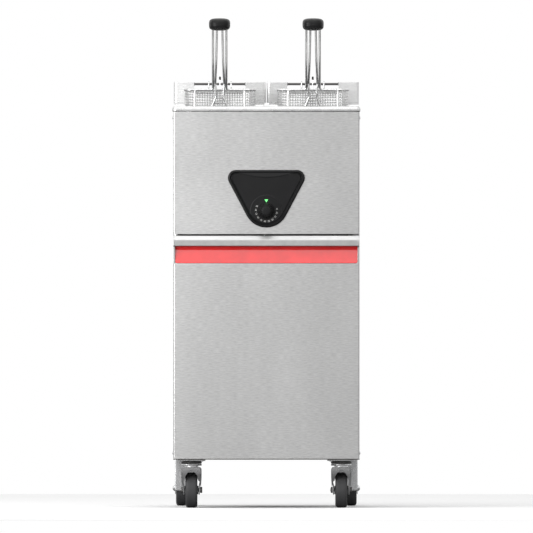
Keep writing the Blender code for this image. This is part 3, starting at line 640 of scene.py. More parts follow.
# ---------------------------------------------------------------- cabinet and door

DOOR_CHEEK = (0.1963, 0.1997)  # inner and outer face of the pull's cheeks
NOSE_DROP = 0.0221


def screw_head(x, y, z, axis, radius=0.0042):
    """A pan-head screw with a cross recess."""
    dome = [(0, -0.0002), (radius, -0.0002), (radius, 0.0006), (radius * 0.72, 0.0017), (0, 0.0022)]
    head = lathe(dome, (x, y, z), axis, 20)
    arm, thin = radius * 0.55, radius * 0.11
    quarter = [(arm, thin), (thin, thin), (thin, arm)]
    upper = [*quarter, *[(-a, b) for a, b in reversed(quarter)]]
    cross = [*upper, *[(-a, -b) for a, b in upper]]
    facing, across, face, way = ("x", y, x, axis[0]) if axis[0] else ("y", x, y, axis[1])
    corners = [(across + a, z + b, 0) for a, b in cross]
    return machined(head, [plate(corners, facing, face + way * 0.0013, face + way * 0.0040)])


def cabinet_front():
    low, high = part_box("front_panel")
    fitted("front_panel_skin", pan(low, high, 0.0035, 0.0016), "cabinet_steel", "cabinet", "front_panel")


def cabinet_back():
    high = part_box("back_panel")[1]
    hoods = []
    for x in (-0.06, 0.06):
        for i in range(6):
            z = 0.7025 + 0.015 * i
            hood = slab((x - 0.036, high.y - 0.0002, z - 0.002), (x + 0.036, high.y + 0.0040, z + 0.005))
            brow = edges_where(hood, along("x"), lying_at("y", high.y + 0.0040), lying_at("z", z + 0.005))
            rounded(hood, brow, 0.0035, 5)
            hoods.append(softened(hood, 0.0006, 2, 50))
    fitted("louvre_hoods", joined(hoods), "cabinet_steel", "cabinet")
    places = [(x, z) for x in (-0.188, 0.188) for z in (0.125, 0.30, 0.475, 0.65, 0.83)]
    heads = [screw_head(x, high.y, z, (0, 1, 0)) for x, z in places + [(0, 0.125), (0, 0.83)]]
    fitted("back_screws", joined(heads), "zinc_plate", "cabinet")


def side_screws():
    for label, side in SIDES:
        low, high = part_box(f"side_panel_{label}")
        x = high.x if side > 0 else low.x
        heads = [screw_head(x, y, z, (side, 0, 0), 0.0036) for y in (-0.262, 0.283) for z in (0.118, 0.838)]
        fitted(f"side_screws_{label}", joined(heads), "zinc_plate", "cabinet")


def door():
    low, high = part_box("door_panel")
    fitted("door_panel_skin", pan(low, high, 0.0035, 0.0026), "cabinet_steel", "door", "door_panel")

    low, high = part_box("door_pull")
    front, top = low.y, high.z
    brow = [(high.y, top), (front + 0.0078, top), (front, top - 0.009)]
    nose_z = top - NOSE_DROP
    fold = [*brow, (front, nose_z), (front + 0.025, nose_z), (front + 0.0175, low.z)]
    reach = DOOR_CHEEK[0] - 0.0001
    sheet = bent_sheet(fold, "x", -reach, reach, 0.0012)
    door_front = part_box("door_panel")[0].y
    cheek = [*brow, (front, nose_z), (door_front, nose_z), (door_front, low.z), (high.y, low.z)]
    radii = (0.0005, 0.0012, 0.0015, 0.0015, 0.002, 0.0008, 0.0005)
    cheek = [(y, z, radius) for (y, z), radius in zip(cheek, radii)]
    faces = [[side * x for x in DOOR_CHEEK] for _, side in SIDES]
    cheeks = [softened(plate(cheek, "x", *ends, 3), 0.0004) for ends in faces]
    # The pull's nose takes the darker copy of the steel, painted shade.
    fitted("door_pull_nose", joined([sheet, *cheeks]), "pull_steel_painted_shade", "door", "door_pull")

    low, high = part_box("red_strip")
    thick = 0.0022
    slope = math.atan2(high.y - low.y - thick, high.z - low.z)
    length = (high.z - low.z) / math.cos(slope)
    corners = [(low.x, 0, 0.004), (high.x, 0, 0.004), (high.x, length, 0.0006), (low.x, length, 0.0006)]
    strip = plate(corners, "y", 0, thick, 6)
    rounded(strip, edges_where(strip, lying_at("y", 0)), 0.0006, 3)
    moved(strip, Matrix.Translation((0, low.y, low.z)) @ Matrix.Rotation(-slope, 4, "X"))
    fitted("red_strip_insert", strip, "red_trim", "door", "red_strip")


# ---------------------------------------------------------------- deck, tank and upstands

def deck_and_tank():
    low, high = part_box("deck_top")
    roll, heel, soft, corner = 0.0070, 0.0010, 0.0008, 0.008
    edge = [(-soft, high.z - 0.0018), *arc((0, high.z - soft), soft, 180, 90, 3)]
    levels = [
        ((MOUTH[0][0] - soft - i, MOUTH[0][1] - soft - i), (MOUTH[1][0] + soft + i, MOUTH[1][1] + soft + i),
         MOUTH_CORNER + soft + i, z)
        for i, z in edge
    ]
    skirt = [*arc((roll, high.z - roll), roll, 90, 180, 8), *arc((heel, low.z + heel), heel, 180, 270, 4)]
    levels += [
        ((low.x + i, low.y + i), (high.x - i, high.y - i), corner - i, z)
        for i, z in skirt
    ]
    shape = bmesh.new()
    pulled(shape, lofted(shape, levels)[-1], grow=-0.0045)
    fitted("deck_sheet", walled(shape, 0.0017), "polished_steel", "cabinet", "deck_top")

    bead = ring_wire(*[Vector(c) for c in MOUTH], high.z - 0.0016, MOUTH_CORNER, 0.0011, 8, 8)
    fitted("mouth_weld", bead, "polished_steel", "cabinet")

    tank_low, tank_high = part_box("fry_tank")
    well, corners = ((-0.120, -0.150), (0.120, 0.170)), (MOUTH_CORNER, 0.020)
    foot = tank_low.z + 0.0019
    bends = (  # how far from the mouth's outline to the well's, how far in from there, height
        (0, 0, tank_high.z), (0, 0, 0.7080), (0.02, 0, 0.7035), (0.06, 0, 0.7000), (0.12, 0, 0.6970),
        (0.90, 0, 0.6715), (0.95, 0, 0.6690), (0.985, 0, 0.6655), (1, 0, 0.6610), (1, 0, foot + 0.012),
        (1, 0.0016, foot + 0.0055), (1, 0.0055, foot + 0.0016), (1, 0.012, foot)
    )
    levels = []
    for share, inset, z in bends:
        low, high = ([a + (b - a) * share for a, b in zip(*pair)] for pair in zip(MOUTH, well))
        corner = corners[0] + (corners[1] - corners[0]) * share - inset
        levels.append(((low[0] + inset, low[1] + inset), (high[0] - inset, high[1] - inset), corner, z))
    shape = bmesh.new()
    filled(shape, lofted(shape, levels)[-1])
    fitted("oil_tank", walled(shape, -0.0019), "polished_steel", "cabinet", "fry_tank")
    marks = []
    for z, reach in ((0.772, 0.030), (0.800, 0.045)):
        for side in (-1, 1):
            x = side * 0.1838
            rib = slab((x - 0.0009, -0.190, z - 0.0011), (x + 0.0009, -0.190 + reach, z + 0.0011))
            marks.append(softened(rib, 0.0007, 3))
    fitted("oil_level_marks", joined(marks), "polished_steel", "cabinet")


def upstands():
    for label, side in SIDES:
        low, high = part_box(f"upstand_{label}")
        foot = low.z
        front = high.y - UPSTAND_DEPTH
        block = slab((low.x, front, foot), high)
        rounded(block, edges_where(block, along("z")), 0.0055, 6)
        rounded(block, edges_where(block, lying_at("z", high.z)), 0.0009, 2)
        near, far = sorted((side * NOTCH_X[0], side * NOTCH_X[1]))
        notch = plate(
            [(near, 0.93, 0), (near, NOTCH_Z, 0.0025), (far, NOTCH_Z, 0.0025), (far, 0.93, 0)],
            "y", high.y - 0.06, high.y + 0.01
        )
        hole = rod(0.0052, 0, 0.07, (0, high.y + 0.01, foot + 0.006), (0, -1, 0), 32)
        block = machined(block, [notch, hole])
        # The upstands take the brighter copy of the steel, painted light.
        fitted(f"upstand_{label}_box", block, "upstand_steel_painted_bright", "cabinet", f"upstand_{label}", smooth=30)
        ends = sorted((side * 0.0062, side * 0.2002))
        cove = bent_sheet(
            [(front - 0.012, foot + 0.0006), (front - 0.0004, foot + 0.0006), (front - 0.0004, foot + 0.011)],
            "x", *ends, 0.0060, 0.0004
        )
        fitted(f"upstand_{label}_cove", cove, "polished_steel", "cabinet")

        low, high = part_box(f"hanger_bar_{label}")
        y, z, radius = (low.y + high.y) / 2, (low.z + high.z) / 2, (high.z - low.z) / 2
        pieces = [rod(radius, 0, high.x - low.x, (low.x, y, z), (1, 0, 0))]
        for x, way in ((low.x, 1), (high.x, -1)):
            bead = [(0, 0), (radius + 0.0012, 0), (radius + 0.0009, 0.0008), (radius, 0.0017), (0, 0.0017)]
            pieces.append(lathe(bead, (x, y, z), (way, 0, 0), 24))
        fitted(f"hanger_bar_{label}_rod", joined(pieces), "dark_steel", "cabinet", f"hanger_bar_{label}")


def heating():
    z, reach = 0.722, 0.170
    lanes = (-0.030, -0.062, -0.094, -0.126)
    plan = []
    for i, x in enumerate(lanes):
        ends = (reach, -reach) if i % 2 == 0 else (-reach, reach)
        plan += [(x, ends[0], z), (x, ends[1], z)]
    riser = [(lanes[0], 0.262, 0.745), (lanes[0], 0.196, 0.745), (lanes[0], 0.180, z)]
    left = riser + plan[1:-1] + [(lanes[-1], 0.208, z)]
    right = [(-x, y, level) for x, y, level in reversed(left)]
    tube = wire(left + right, 0.0042, 0.0155, 12, 6)
    fitted("element_tube", tube, "dark_steel", "cabinet", "heating_element")

    racks = []
    for y in (-0.115, 0.115):
        bar = slab((-0.140, y - 0.006, 0.7150), (0.140, y + 0.006, 0.7170))
        racks.append(softened(bar, 0.0007))
        for x in (-0.139, 0.139):
            tab = slab((x - 0.001, y - 0.006, 0.7080), (x + 0.001, y + 0.006, 0.7300))
            racks.append(softened(tab, 0.0006))
    fitted("element_rack", joined(racks), "polished_steel", "cabinet")

    low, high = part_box("thermostat_bulb")
    length, thick = high.y - low.y, (high.z - low.z) / 2
    bulb = [(0, 0), (thick, 0), (thick, 0.010), (0.003, 0.012), (0.003, length - 0.002), (0, length)]
    bulb = lathe(bulb, (0, high.y, (low.z + high.z) / 2), (0, -1, 0), 24)
    fitted("bulb_sheath", softened(bulb, 0.0006), "polished_steel", "cabinet", "thermostat_bulb")


# ---------------------------------------------------------------- baskets

def u_wire(low, high, axis, place, top, foot, bend):
    """A wire that goes down one wall of a basket, across its floor and up the other wall."""
    if axis == "x":
        points = [(low, place, top), (low, place, foot), (high, place, foot), (high, place, top)]
    else:
        points = [(place, low, top), (place, low, foot), (place, high, foot), (place, high, top)]
    return wire(points, MESH_R, bend, 6, 3)


def basket_mesh(low, high):
    """A welded wire cage: wires round the inside in both directions, and rings outside them."""
    corner, inset = 0.014, MESH_R + 0.0006
    top, foot = high.z + 0.0006, low.z + 2.5 * MESH_R
    (x0, y0), (x1, y1) = (low.x + inset, low.y + inset), (high.x - inset, high.y - inset)
    across = 22
    step = (x1 - x0 - 2 * corner) / across
    parts = [
        repeated(
            u_wire(y0, y1, "y", x0 + corner, top, foot, 0.008),
            [(step * (i + 1), 0, 0) for i in range(across)]
        )
    ]
    deep = round((y1 - y0 - 2 * corner) / MESH_PITCH)
    step = (y1 - y0 - 2 * corner) / deep
    parts.append(
        repeated(
            u_wire(x0, x1, "x", y0 + corner, top, foot - 1.7 * MESH_R, 0.008),
            [(0, step * (i + 1), 0) for i in range(deep)]
        )
    )
    for x, way in ((x0, 1), (x1, -1)):
        for y, on in ((y0, 1), (y1, -1)):
            centre = (x + way * corner, y + on * corner)
            for degrees in (22.5, 45, 67.5):
                angle = math.radians(degrees)
                side = (-way * math.cos(angle), -on * math.sin(angle))
                spot = (centre[0] + side[0] * corner, centre[1] + side[1] * corner)
                inner = (centre[0] + side[0] * 0.001, centre[1] + side[1] * 0.001)
                points = [(*spot, top), (*spot, foot), (*inner, foot)]
                parts.append(wire(points, MESH_R, 0.007, 6, 3))
    out = 1.7 * MESH_R
    ring = ring_wire((x0 - out, y0 - out), (x1 + out, y1 + out), high.z - 0.0052, corner + out, MESH_R, 6, 4)
    parts.append(repeated(ring, [(0, 0, -MESH_PITCH * (i + 1)) for i in range(18)]))
    return joined(parts)


def grip(low, high):
    """A moulded handle: a soft block that narrows towards the wires, with a mould line round its middle."""
    half, middle = (high - low) / 2, (low + high) / 2
    shape = bmesh.new()
    bmesh.ops.create_cube(shape, size=2)
    bmesh.ops.subdivide_edges(shape, edges=list(shape.edges), cuts=1, use_grid_fill=True)
    for vert in shape.verts:
        if abs(vert.co.y) < 0.1:
            vert.co.y = 0
        vert.co.z *= 1 - 0.08 * vert.co.x ** 2
    blank = loose("grip_blank", shape)
    step = blank.modifiers.new("soft", "SUBSURF")
    step.levels = step.render_levels = 3
    shape = taken(blank)
    size = [max(abs(v.co[i]) for v in shape.verts) for i in range(3)]
    moved(shape, Matrix.Translation(middle) @ Matrix.Diagonal((*[half[i] / size[i] for i in range(3)], 1)))
    for vert in shape.verts:
        back = (vert.co.y - low.y) / (high.y - low.y)
        narrow = 1 - 0.16 * max(0.0, back - 0.45) ** 1.5
        vert.co.x = middle.x + (vert.co.x - middle.x) * narrow
        vert.co.z = middle.z + (vert.co.z - middle.z) * narrow
    seam_z = middle.z + 0.0002
    line = bmesh.ops.bisect_plane(
        shape, geom=[*shape.verts, *shape.edges, *shape.faces], plane_co=(0, 0, seam_z), plane_no=(0, 0, 1)
    )["geom_cut"]
    seam = [part for part in line if isinstance(part, bmesh.types.BMEdge)]
    bmesh.ops.bevel(shape, geom=seam, offset=0.0003, segments=2, profile=0.5, affect="EDGES", material=-1)
    outward(shape)
    shape.normal_update()
    groove = [v for v in shape.verts if abs(v.co.z - seam_z) < 0.00005]
    for vert in groove:
        vert.co -= vert.normal * 0.00025
    return shape


def basket(label):
    body = f"basket_{label}"
    low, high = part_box(f"{body}_mesh")
    middle = (low.x + high.x) / 2
    fitted(f"{body}_cage", basket_mesh(low, high), "wire_chrome", body, f"{body}_mesh")

    out = 0.0004
    rim = ring_wire((low.x - out, low.y - out), (high.x + out, high.y + out), RIM_Z, 0.0144, WIRE_R, 12, 6)
    parts = [rim]
    bar_low, bar_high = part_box(f"hanger_bar_{label}")
    bar_y, bar_z = (bar_low.y + bar_high.y) / 2, (bar_low.z + bar_high.z) / 2
    reach = 0.0049
    for across in (-0.0243, 0.0243):
        x = middle + across
        hook = [
            (x, high.y + 0.001, RIM_Z + 0.001), (x, bar_y - reach, RIM_Z + 0.0050),
            (x, bar_y - reach, bar_z + reach), (x, bar_y + reach, bar_z + reach),
            (x, bar_y + reach, bar_z - 0.0055)
        ]
        parts.append(wire(hook, 0.0018, 0.0046, 10, 6))
    fitted(f"{body}_rim_wire", joined(parts), "wire_chrome", body, f"{body}_rim")

    low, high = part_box(f"{body}_grip")
    grip_back, grip_z = high.y, (low.z + high.z) / 2
    fitted(f"{body}_grip_mould", grip(low, high), "black_plastic", body, f"{body}_grip", smooth=60)

    wire_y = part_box(f"{body}_handle")[1].y - WIRE_R
    foot_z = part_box(f"{body}_handle")[0].z + WIRE_R
    top_y = wire_y - 0.045
    outer = [
        (0.0144, grip_back - 0.002, grip_z), (0.0144, top_y, grip_z), (0.0144, wire_y, RIM_Z),
        (0.0537, wire_y, RIM_Z), (0.0537, wire_y, foot_z)
    ]
    lean = 0.045 / (grip_z - RIM_Z)
    wires = []
    inner = [
        (0.0056, grip_back - 0.002, grip_z), (0.0056, top_y, grip_z), (0.0074, wire_y - lean * 0.062, 0.962),
        (0.0097, wire_y - lean * 0.012, 0.912), (0.0080, wire_y, 0.8846), (0.0500, wire_y, foot_z)
    ]
    for way in (-1, 1):
        for line, steps in ((outer, 5), (inner, 4)):
            wires.append(wire([(middle + way * a, b, c) for a, b, c in line], WIRE_R, 0.006, 12, steps))
    fitted(f"{body}_handle_wires", joined(wires), "wire_chrome", body, f"{body}_handle")

    collars = []
    for across in (-0.0144, -0.0056, 0.0056, 0.0144):
        ring = [(WIRE_R, 0), (WIRE_R + 0.0014, 0), (WIRE_R + 0.0011, 0.004), (WIRE_R, 0.0046)]
        collars.append(lathe(ring, (middle + across, grip_back - 0.0006, grip_z), (0, 1, 0), 20))
    fitted(f"{body}_grip_collars", joined(collars), "black_plastic", body)

    post_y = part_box(f"{body}_mesh")[1].y
    stem = wire([(middle, post_y, RIM_Z), (middle, post_y, 0.9236)], 0.0008, sides=8)
    fitted(f"{body}_stop_stem", stem, "wire_chrome", body)
    cap = [(0, 0), (0.0016, 0), (0.0021, 0.0008), (0.0021, 0.0058), (0.0014, 0.0072), (0, 0.0075)]
    cap = lathe(cap, (middle, post_y, 0.9230), (0, 0, 1), 16)
    fitted(f"{body}_stop_cap", cap, "black_plastic", body)


# ---------------------------------------------------------------- control panel

def rounded_triangle(shape, inset, y, segments=12):
    """The edges of the bezel's outline, drawn in by an inset, at one depth."""
    right, left, lower = BEZEL_CORNERS
    reach = math.hypot(right[0] - lower[0], right[1] - lower[1])
    slope = math.atan2(right[1] - lower[1], right[0] - lower[0])
    tangent = slope - math.acos((lower[2] - right[2]) / reach)
    sweeps = ((right, tangent, math.pi / 2), (left, math.pi / 2, math.pi - tangent),
              (lower, math.pi - tangent, 2 * math.pi + tangent))
    rows = []
    for (x, z, radius), start, end in sweeps:
        radius -= inset
        vert = shape.verts.new((x + radius * math.cos(start), y, z + radius * math.sin(start)))
        others = set(shape.verts)
        bmesh.ops.spin(
            shape, geom=[vert], cent=(x, y, z), axis=(0, -1, 0), angle=end - start, steps=segments
        )
        row = [vert, *[v for v in shape.verts if v not in others]]
        row.sort(key=lambda v: (math.atan2(v.co.z - z, v.co.x - x) - start + 1e-4) % (2 * math.pi))
        rows.append(row)
    for row, after in zip(rows, rows[1:] + rows[:1]):
        shape.edges.new((row[-1], after[0]))
    ring = {v for row in rows for v in row}
    return [e for e in shape.edges if e.verts[0] in ring and e.verts[1] in ring]


def bezel():
    low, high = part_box("control_bezel")
    depths = ((0.0, high.y), (0.0, high.y - 0.0016), (0.0006, high.y - 0.0030), (0.0018, low.y + 0.0009),
              (0.0032, low.y + 0.0002), (0.0037, low.y), (0.0042, low.y + 0.0003), (0.0056, low.y + 0.0018),
              (0.0068, high.y - 0.0008), (0.0076, high.y - 0.0006), (0.0086, high.y - 0.0012),
              (0.0096, high.y - 0.0025))
    shape = bmesh.new()
    rows = [rounded_triangle(shape, inset, y) for inset, y in depths]
    for row, after in zip(rows, rows[1:]):
        bmesh.ops.bridge_loops(shape, edges=row + after)
    filled(shape, rows[-1])
    filled(shape, rows[0])
    fitted("bezel_moulding", outward(shape), "black_plastic", "cabinet", "control_bezel", smooth=50)

    # the brow above the dial, whose lower edge sags in a long arc
    half, top, sag_top, sag_low, front = 0.0620, 0.7215, 0.7203, 0.7099, low.y + 0.0004
    drop = sag_top - sag_low
    radius = (half ** 2 + drop ** 2) / (2 * drop)
    sweep = 2 * math.asin(half / radius)
    shape = bmesh.new()
    start = shape.verts.new((-half, front, sag_top))
    others = set(shape.verts)
    bmesh.ops.spin(
        shape, geom=[start], cent=(0, front, sag_low + radius), axis=(0, -1, 0), angle=sweep, steps=28
    )
    sag = [start, *sorted((v for v in shape.verts if v not in others), key=lambda v: v.co.x)]
    ends = [shape.verts.new((half, front, top)), shape.verts.new((-half, front, top))]
    for pair in ((sag[-1], ends[0]), ends, (ends[1], sag[0])):
        shape.edges.new(pair)
    filled(shape, list(shape.edges))
    made = bmesh.ops.extrude_face_region(shape, geom=list(shape.faces))["geom"]
    bmesh.ops.translate(shape, verts=verts_of(made), vec=(0, high.y - 0.0025 - low.y, 0))
    outward(shape)
    rim = [e for e in edges_where(shape, lying_at("y", front)) if e.calc_face_angle(0) > 0.6]
    rounded(shape, rim, 0.0014, 4)
    for vert in shape.verts:
        if vert.co.y < low.y + 0.0022:
            vert.co.y += 0.0024 * (vert.co.z - sag_low) / (top - sag_low)
    fitted("bezel_brow", shape, "black_plastic", "cabinet")


def dial():
    knob_low, knob_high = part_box("control_knob")
    centre = (knob_low + knob_high) / 2
    floor_y = knob_high.y + GAP
    ledge = [(0.0322, -0.0002), (0.0326, 0.00035), (0.0340, 0.00035), (0.0352, -0.0002)]
    shape = bmesh.new()
    verts = [shape.verts.new((centre.x + radius, floor_y - height, centre.z)) for radius, height in ledge]
    edges = [shape.edges.new(ends) for ends in zip(verts, verts[1:] + verts[:1])]
    bmesh.ops.rotate(shape, cent=centre, matrix=Matrix.Rotation(math.radians(10), 3, "Y"), verts=shape.verts)
    bmesh.ops.spin(
        shape, geom=verts + edges, cent=centre, axis=(0, -1, 0), angle=math.radians(200), steps=48
    )
    bmesh.ops.holes_fill(shape, edges=[e for e in shape.edges if e.is_boundary], sides=0)
    fitted("dial_ledge", outward(shape), "black_plastic", "cabinet")

    numbers = []
    for i in range(11):
        angle = math.radians(9.5 - 21.65 * i)
        text = bpy.data.curves.new("number", "FONT")
        text.body, text.size, text.extrude = str(90 + 10 * i), 0.0056, 0.00008
        text.align_x = text.align_y = "CENTER"
        text.resolution_u = 2
        obj = bpy.data.objects.new("number", text)
        bpy.context.scene.collection.objects.link(obj)
        bpy.context.view_layer.update()
        flat = bpy.data.meshes.new_from_object(obj.evaluated_get(bpy.context.evaluated_depsgraph_get()))
        bpy.data.objects.remove(obj)
        shape = bmesh.new()
        shape.from_mesh(flat)
        radius = 0.0229
        spot = (centre.x + radius * math.cos(angle), floor_y - 0.0002, centre.z + radius * math.sin(angle))
        upright = Matrix.Rotation(math.pi / 2, 4, "X") @ Matrix.Diagonal((0.58, 1, 1, 1))
        turn = Matrix.Rotation(-(angle + math.pi / 2), 4, "Y")
        numbers.append(moved(shape, Matrix.Translation(spot) @ turn @ upright))
    fitted("dial_numbers", joined(numbers), "dial_ink", "cabinet")

    low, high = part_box("indicator_lens")
    corners = [((low.x + high.x) / 2, low.z, 0.0006), (high.x, high.z, 0.0006), (low.x, high.z, 0.0006)]
    lens = plate(corners, "y", high.y, low.y, 3)
    fitted("pilot_lens", softened(lens, 0.0004), "green_lens", "cabinet", "indicator_lens")


def knob():
    low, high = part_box("control_knob")
    centre, length = (low + high) / 2, high.y - low.y
    base = (high.x - low.x) / 2 - 0.0008
    profile = [
        (0, 0.0), (base, 0.0), (base, 0.0030), (base - 0.0010, 0.0046), (base - 0.0018, 0.0075),
        (base - 0.0030, 0.0115), (base - 0.0045, 0.0150), (base - 0.0058, 0.0172),
        (base - 0.0075, length - 0.0003), (base - 0.0100, length), (0, length)
    ]
    flutes, steps = 14, 112
    shape = lathe(profile, (centre.x, high.y, centre.z), (0, -1, 0), steps)
    for vert in shape.verts:
        out = Vector((vert.co.x - centre.x, 0, vert.co.z - centre.z))
        height = high.y - vert.co.y
        if out.length < 0.006 or not 0.0040 < height < length - 0.0001:
            continue
        turn = math.atan2(out.x, -out.z)
        wave = max(0.0, math.cos(turn * flutes) - 0.2) / 0.8
        depth = 0.0017 * wave * min(1.0, (height - 0.0040) / 0.0020)
        vert.co -= out.normalized() * depth
    fitted("knob_cap", shape, "black_plastic", "knob", "control_knob", smooth=50)
    foot, tip = (centre + Vector((x, 0, z)) for x, z in ((-0.0007, 0.0020), (0.0007, 0.0078)))
    foot.y, tip.y = low.y - 0.0003, low.y + 0.0010
    ridge = slab(foot, tip)
    fitted("knob_pointer", softened(ridge, 0.0003), "black_plastic", "knob")


# ---------------------------------------------------------------- running gear

AXLE_HOLE = 0.0043


def hex_head(radius, thick, centre, axis):
    return softened(rod(radius, 0, thick, centre, axis, 6), 0.0005)


def wheel(name, axle, half, hub_half, body):
    """A rubber tyre on a ribbed hub that turns on a sideways axle."""
    radius, rim = axle[2], 0.027
    tread = [
        (rim, -half), (radius - 0.0055, -half), (radius - 0.0018, -half + 0.0014),
        (radius - 0.0004, -half + 0.0042), (radius, -half * 0.35), (radius, half * 0.35),
        (radius - 0.0004, half - 0.0042), (radius - 0.0018, half - 0.0014), (radius - 0.0055, half),
        (rim, half)
    ]
    tyre = softened(lathe(tread, axle, (1, 0, 0), 64), 0.0006, 2, 18)
    fitted(f"{name}_tyre_ring", tyre, "tyre_rubber", body, f"{name}_tyre", smooth=50)
    face = half - 0.0030
    web = face * 0.45
    side = [
        (0.0045, hub_half), (0.0090, hub_half), (0.0105, web), (0.0235, web), (0.0245, face),
        (rim - GAP, face)
    ]
    hub = lathe([(r, -s) for r, s in side] + side[::-1], axle, (1, 0, 0), 48)
    parts = [softened(hub, 0.0005, 2, 40)]
    for way in (-1, 1):
        x = sorted((axle[0] + way * face * 0.40, axle[0] + way * face * 0.92))
        rib = slab((x[0], axle[1] - 0.0011, axle[2] + 0.0095), (x[1], axle[1] + 0.0011, axle[2] + 0.0240))
        parts.append(turned_copies(softened(rib, 0.0004), axle, (1, 0, 0), 6))
    fitted(f"{name}_hub_ribbed", joined(parts), "grey_plastic", body, f"{name}_hub")


def castor(label):
    name, swivel = f"castor_{label}", f"castor_{label}_swivel"
    low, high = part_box(f"{name}_plate")
    x, y = (low.x + high.x) / 2, (low.y + high.y) / 2
    under = high.z - 0.0026
    rivet = [(0, 0), (0.0042, 0), (0.0036, 0.0008), (0.0018, 0.0013), (0, 0.0014)]
    mount = [softened(plate(corners_of(low, high, 0.006), "z", under, high.z), 0.0005)]
    mount += [
        lathe(rivet, (x + a, y + b, under), (0, 0, -1), 20) for a in (-0.022, 0.022) for b in (-0.022, 0.022)
    ]
    fitted(f"{name}_mount", joined(mount), "zinc_plate", "cabinet", f"{name}_plate")
    cup = [
        (0, 0.0946), (0.0208, 0.0946), (0.0222, 0.0958), (0.0224, 0.0975), (0.0204, 0.1004), (0.0190, 0.1009),
        (0, 0.1009)
    ]
    # Dark steel on the cup is a painted reflection: it stands in for the dark surroundings mirrored round the
    # swivel.
    fitted(f"{name}_cup", lathe(cup, (x, y, 0), (0, 0, 1), 48), "dark_steel", "cabinet")

    # the fork: a channel trimmed to the side view of its legs, with an arched lip across its front
    axle = (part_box(f"{name}_tyre")[0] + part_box(f"{name}_tyre")[1]) / 2
    wide, narrow, leaf, crown_z = 0.02175, 0.0178, 0.0024, 0.0880
    lip_foot, lip_wall, front_y = 0.0440, 0.0026, y - 0.023
    outer = [(wide, 0.0876, 0.0060), (wide, 0.062, 0.004), (narrow, 0.047, 0.004), (narrow, 0.0265, 0)]
    inner = [
        (narrow - leaf, 0.0265, 0), (narrow - leaf, 0.0475, 0.004), (wide - leaf, 0.0625, 0.004),
        (wide - leaf, 0.0852, 0.0036)
    ]
    channel = plate(both_sides(x, outer + inner), "y", y - 0.05, y + 0.06, 4)
    leg = [
        (front_y, crown_z, 0), (front_y, 0.078, 0.010), (y - 0.004, 0.058, 0.010),
        (axle.y - 0.0115, axle.z, 0.004), (axle.y - 0.0085, 0.0280, 0.006), (axle.y + 0.0085, 0.0280, 0.006),
        (axle.y + 0.0115, axle.z, 0.004), (y + 0.036, 0.064, 0.008), (y + 0.027, 0.078, 0.006),
        (y + 0.027, crown_z, 0)
    ]
    blank = machined(channel, [plate(leg, "x", x - 0.03, x + 0.03, 5)], "INTERSECT")
    blank = machined(blank, [rod(AXLE_HOLE, -0.03, 0.03, axle, (1, 0, 0))])
    arch = [
        (0, 0.0826, 0.004), (0.0085, 0.0755, 0.006), (0.0142, 0.0655, 0.010), (0.0180, 0.0540, 0.010),
        (0.0196, lip_foot, 0)
    ]
    opening = [(x - a, b, r) for a, b, r in arch[:0:-1]] + [(x + a, b, r) for a, b, r in arch]
    shell = [
        (x - wide, 0.0872, 0.0056), (x + wide, 0.0872, 0.0056), (x + wide, 0.0620, 0.004),
        (x + 0.0203, lip_foot, 0), (x - 0.0203, lip_foot, 0), (x - wide, 0.0620, 0.004)
    ]
    lip = machined(
        plate(shell, "y", y - 0.05, y + 0.03, 4), [plate(opening, "y", y - 0.06, y + 0.04, 4)]
    )
    band = [
        (front_y, crown_z, 0), (front_y, 0.078, 0.010), (y - 0.004, 0.058, 0.010), (y + 0.010, lip_foot, 0),
        (y + 0.010 + lip_wall, lip_foot, 0), (y - 0.004 + lip_wall, 0.058, 0.010),
        (front_y + lip_wall, 0.078, 0.010), (front_y + lip_wall, crown_z, 0)
    ]
    lip = machined(lip, [plate(band, "x", x - 0.03, x + 0.03, 5)], "INTERSECT")
    web = [
        (x - 0.0195, 0.0868, 0), (x - 0.0195, 0.0560, 0), (x - 0.0150, 0.0560, 0.003),
        (x - 0.0100, 0.0700, 0.006), (x + 0.0100, 0.0700, 0.006), (x + 0.0150, 0.0560, 0.003),
        (x + 0.0195, 0.0560, 0), (x + 0.0195, 0.0868, 0)
    ]
    race = [
        (0, 0.0860), (0.0150, 0.0860), (0.0150, 0.0902), (0.0214, 0.0904), (0.0221, 0.0912), (0.0221, 0.0934),
        (0.0214, 0.0942), (0, 0.0942)
    ]
    parts = [
        softened(blank, 0.0005, 2, 40), softened(lip, 0.0005, 2, 40), plate(web, "y", y + 0.0246, y + 0.0268),
        lathe(race, (x, y, 0), (0, 0, 1), 48)
    ]
    fitted(f"{name}_fork_pressing", joined(parts), "zinc_plate", swivel, f"{name}_fork", smooth=45)

    head, tail = (Vector((reach, 0, 0)) for reach in (0.0182, 0.0222))
    stub = [(0, 0), (0.0035, 0), (0.0030, 0.0012), (0, 0.0014)]
    bolt = [
        rod(0.0039, -0.0175, 0.0175, axle, (1, 0, 0), 20), hex_head(0.0065, 0.0050, axle + head, (1, 0, 0)),
        hex_head(0.0065, 0.0042, axle - head, (-1, 0, 0)), lathe(stub, axle - tail, (-1, 0, 0), 20)
    ]
    fitted(f"{name}_bolt", joined(bolt), "dark_steel", swivel, f"{name}_axle")
    wheel(name, axle, 0.01275, 0.0150, f"{name}_wheel")


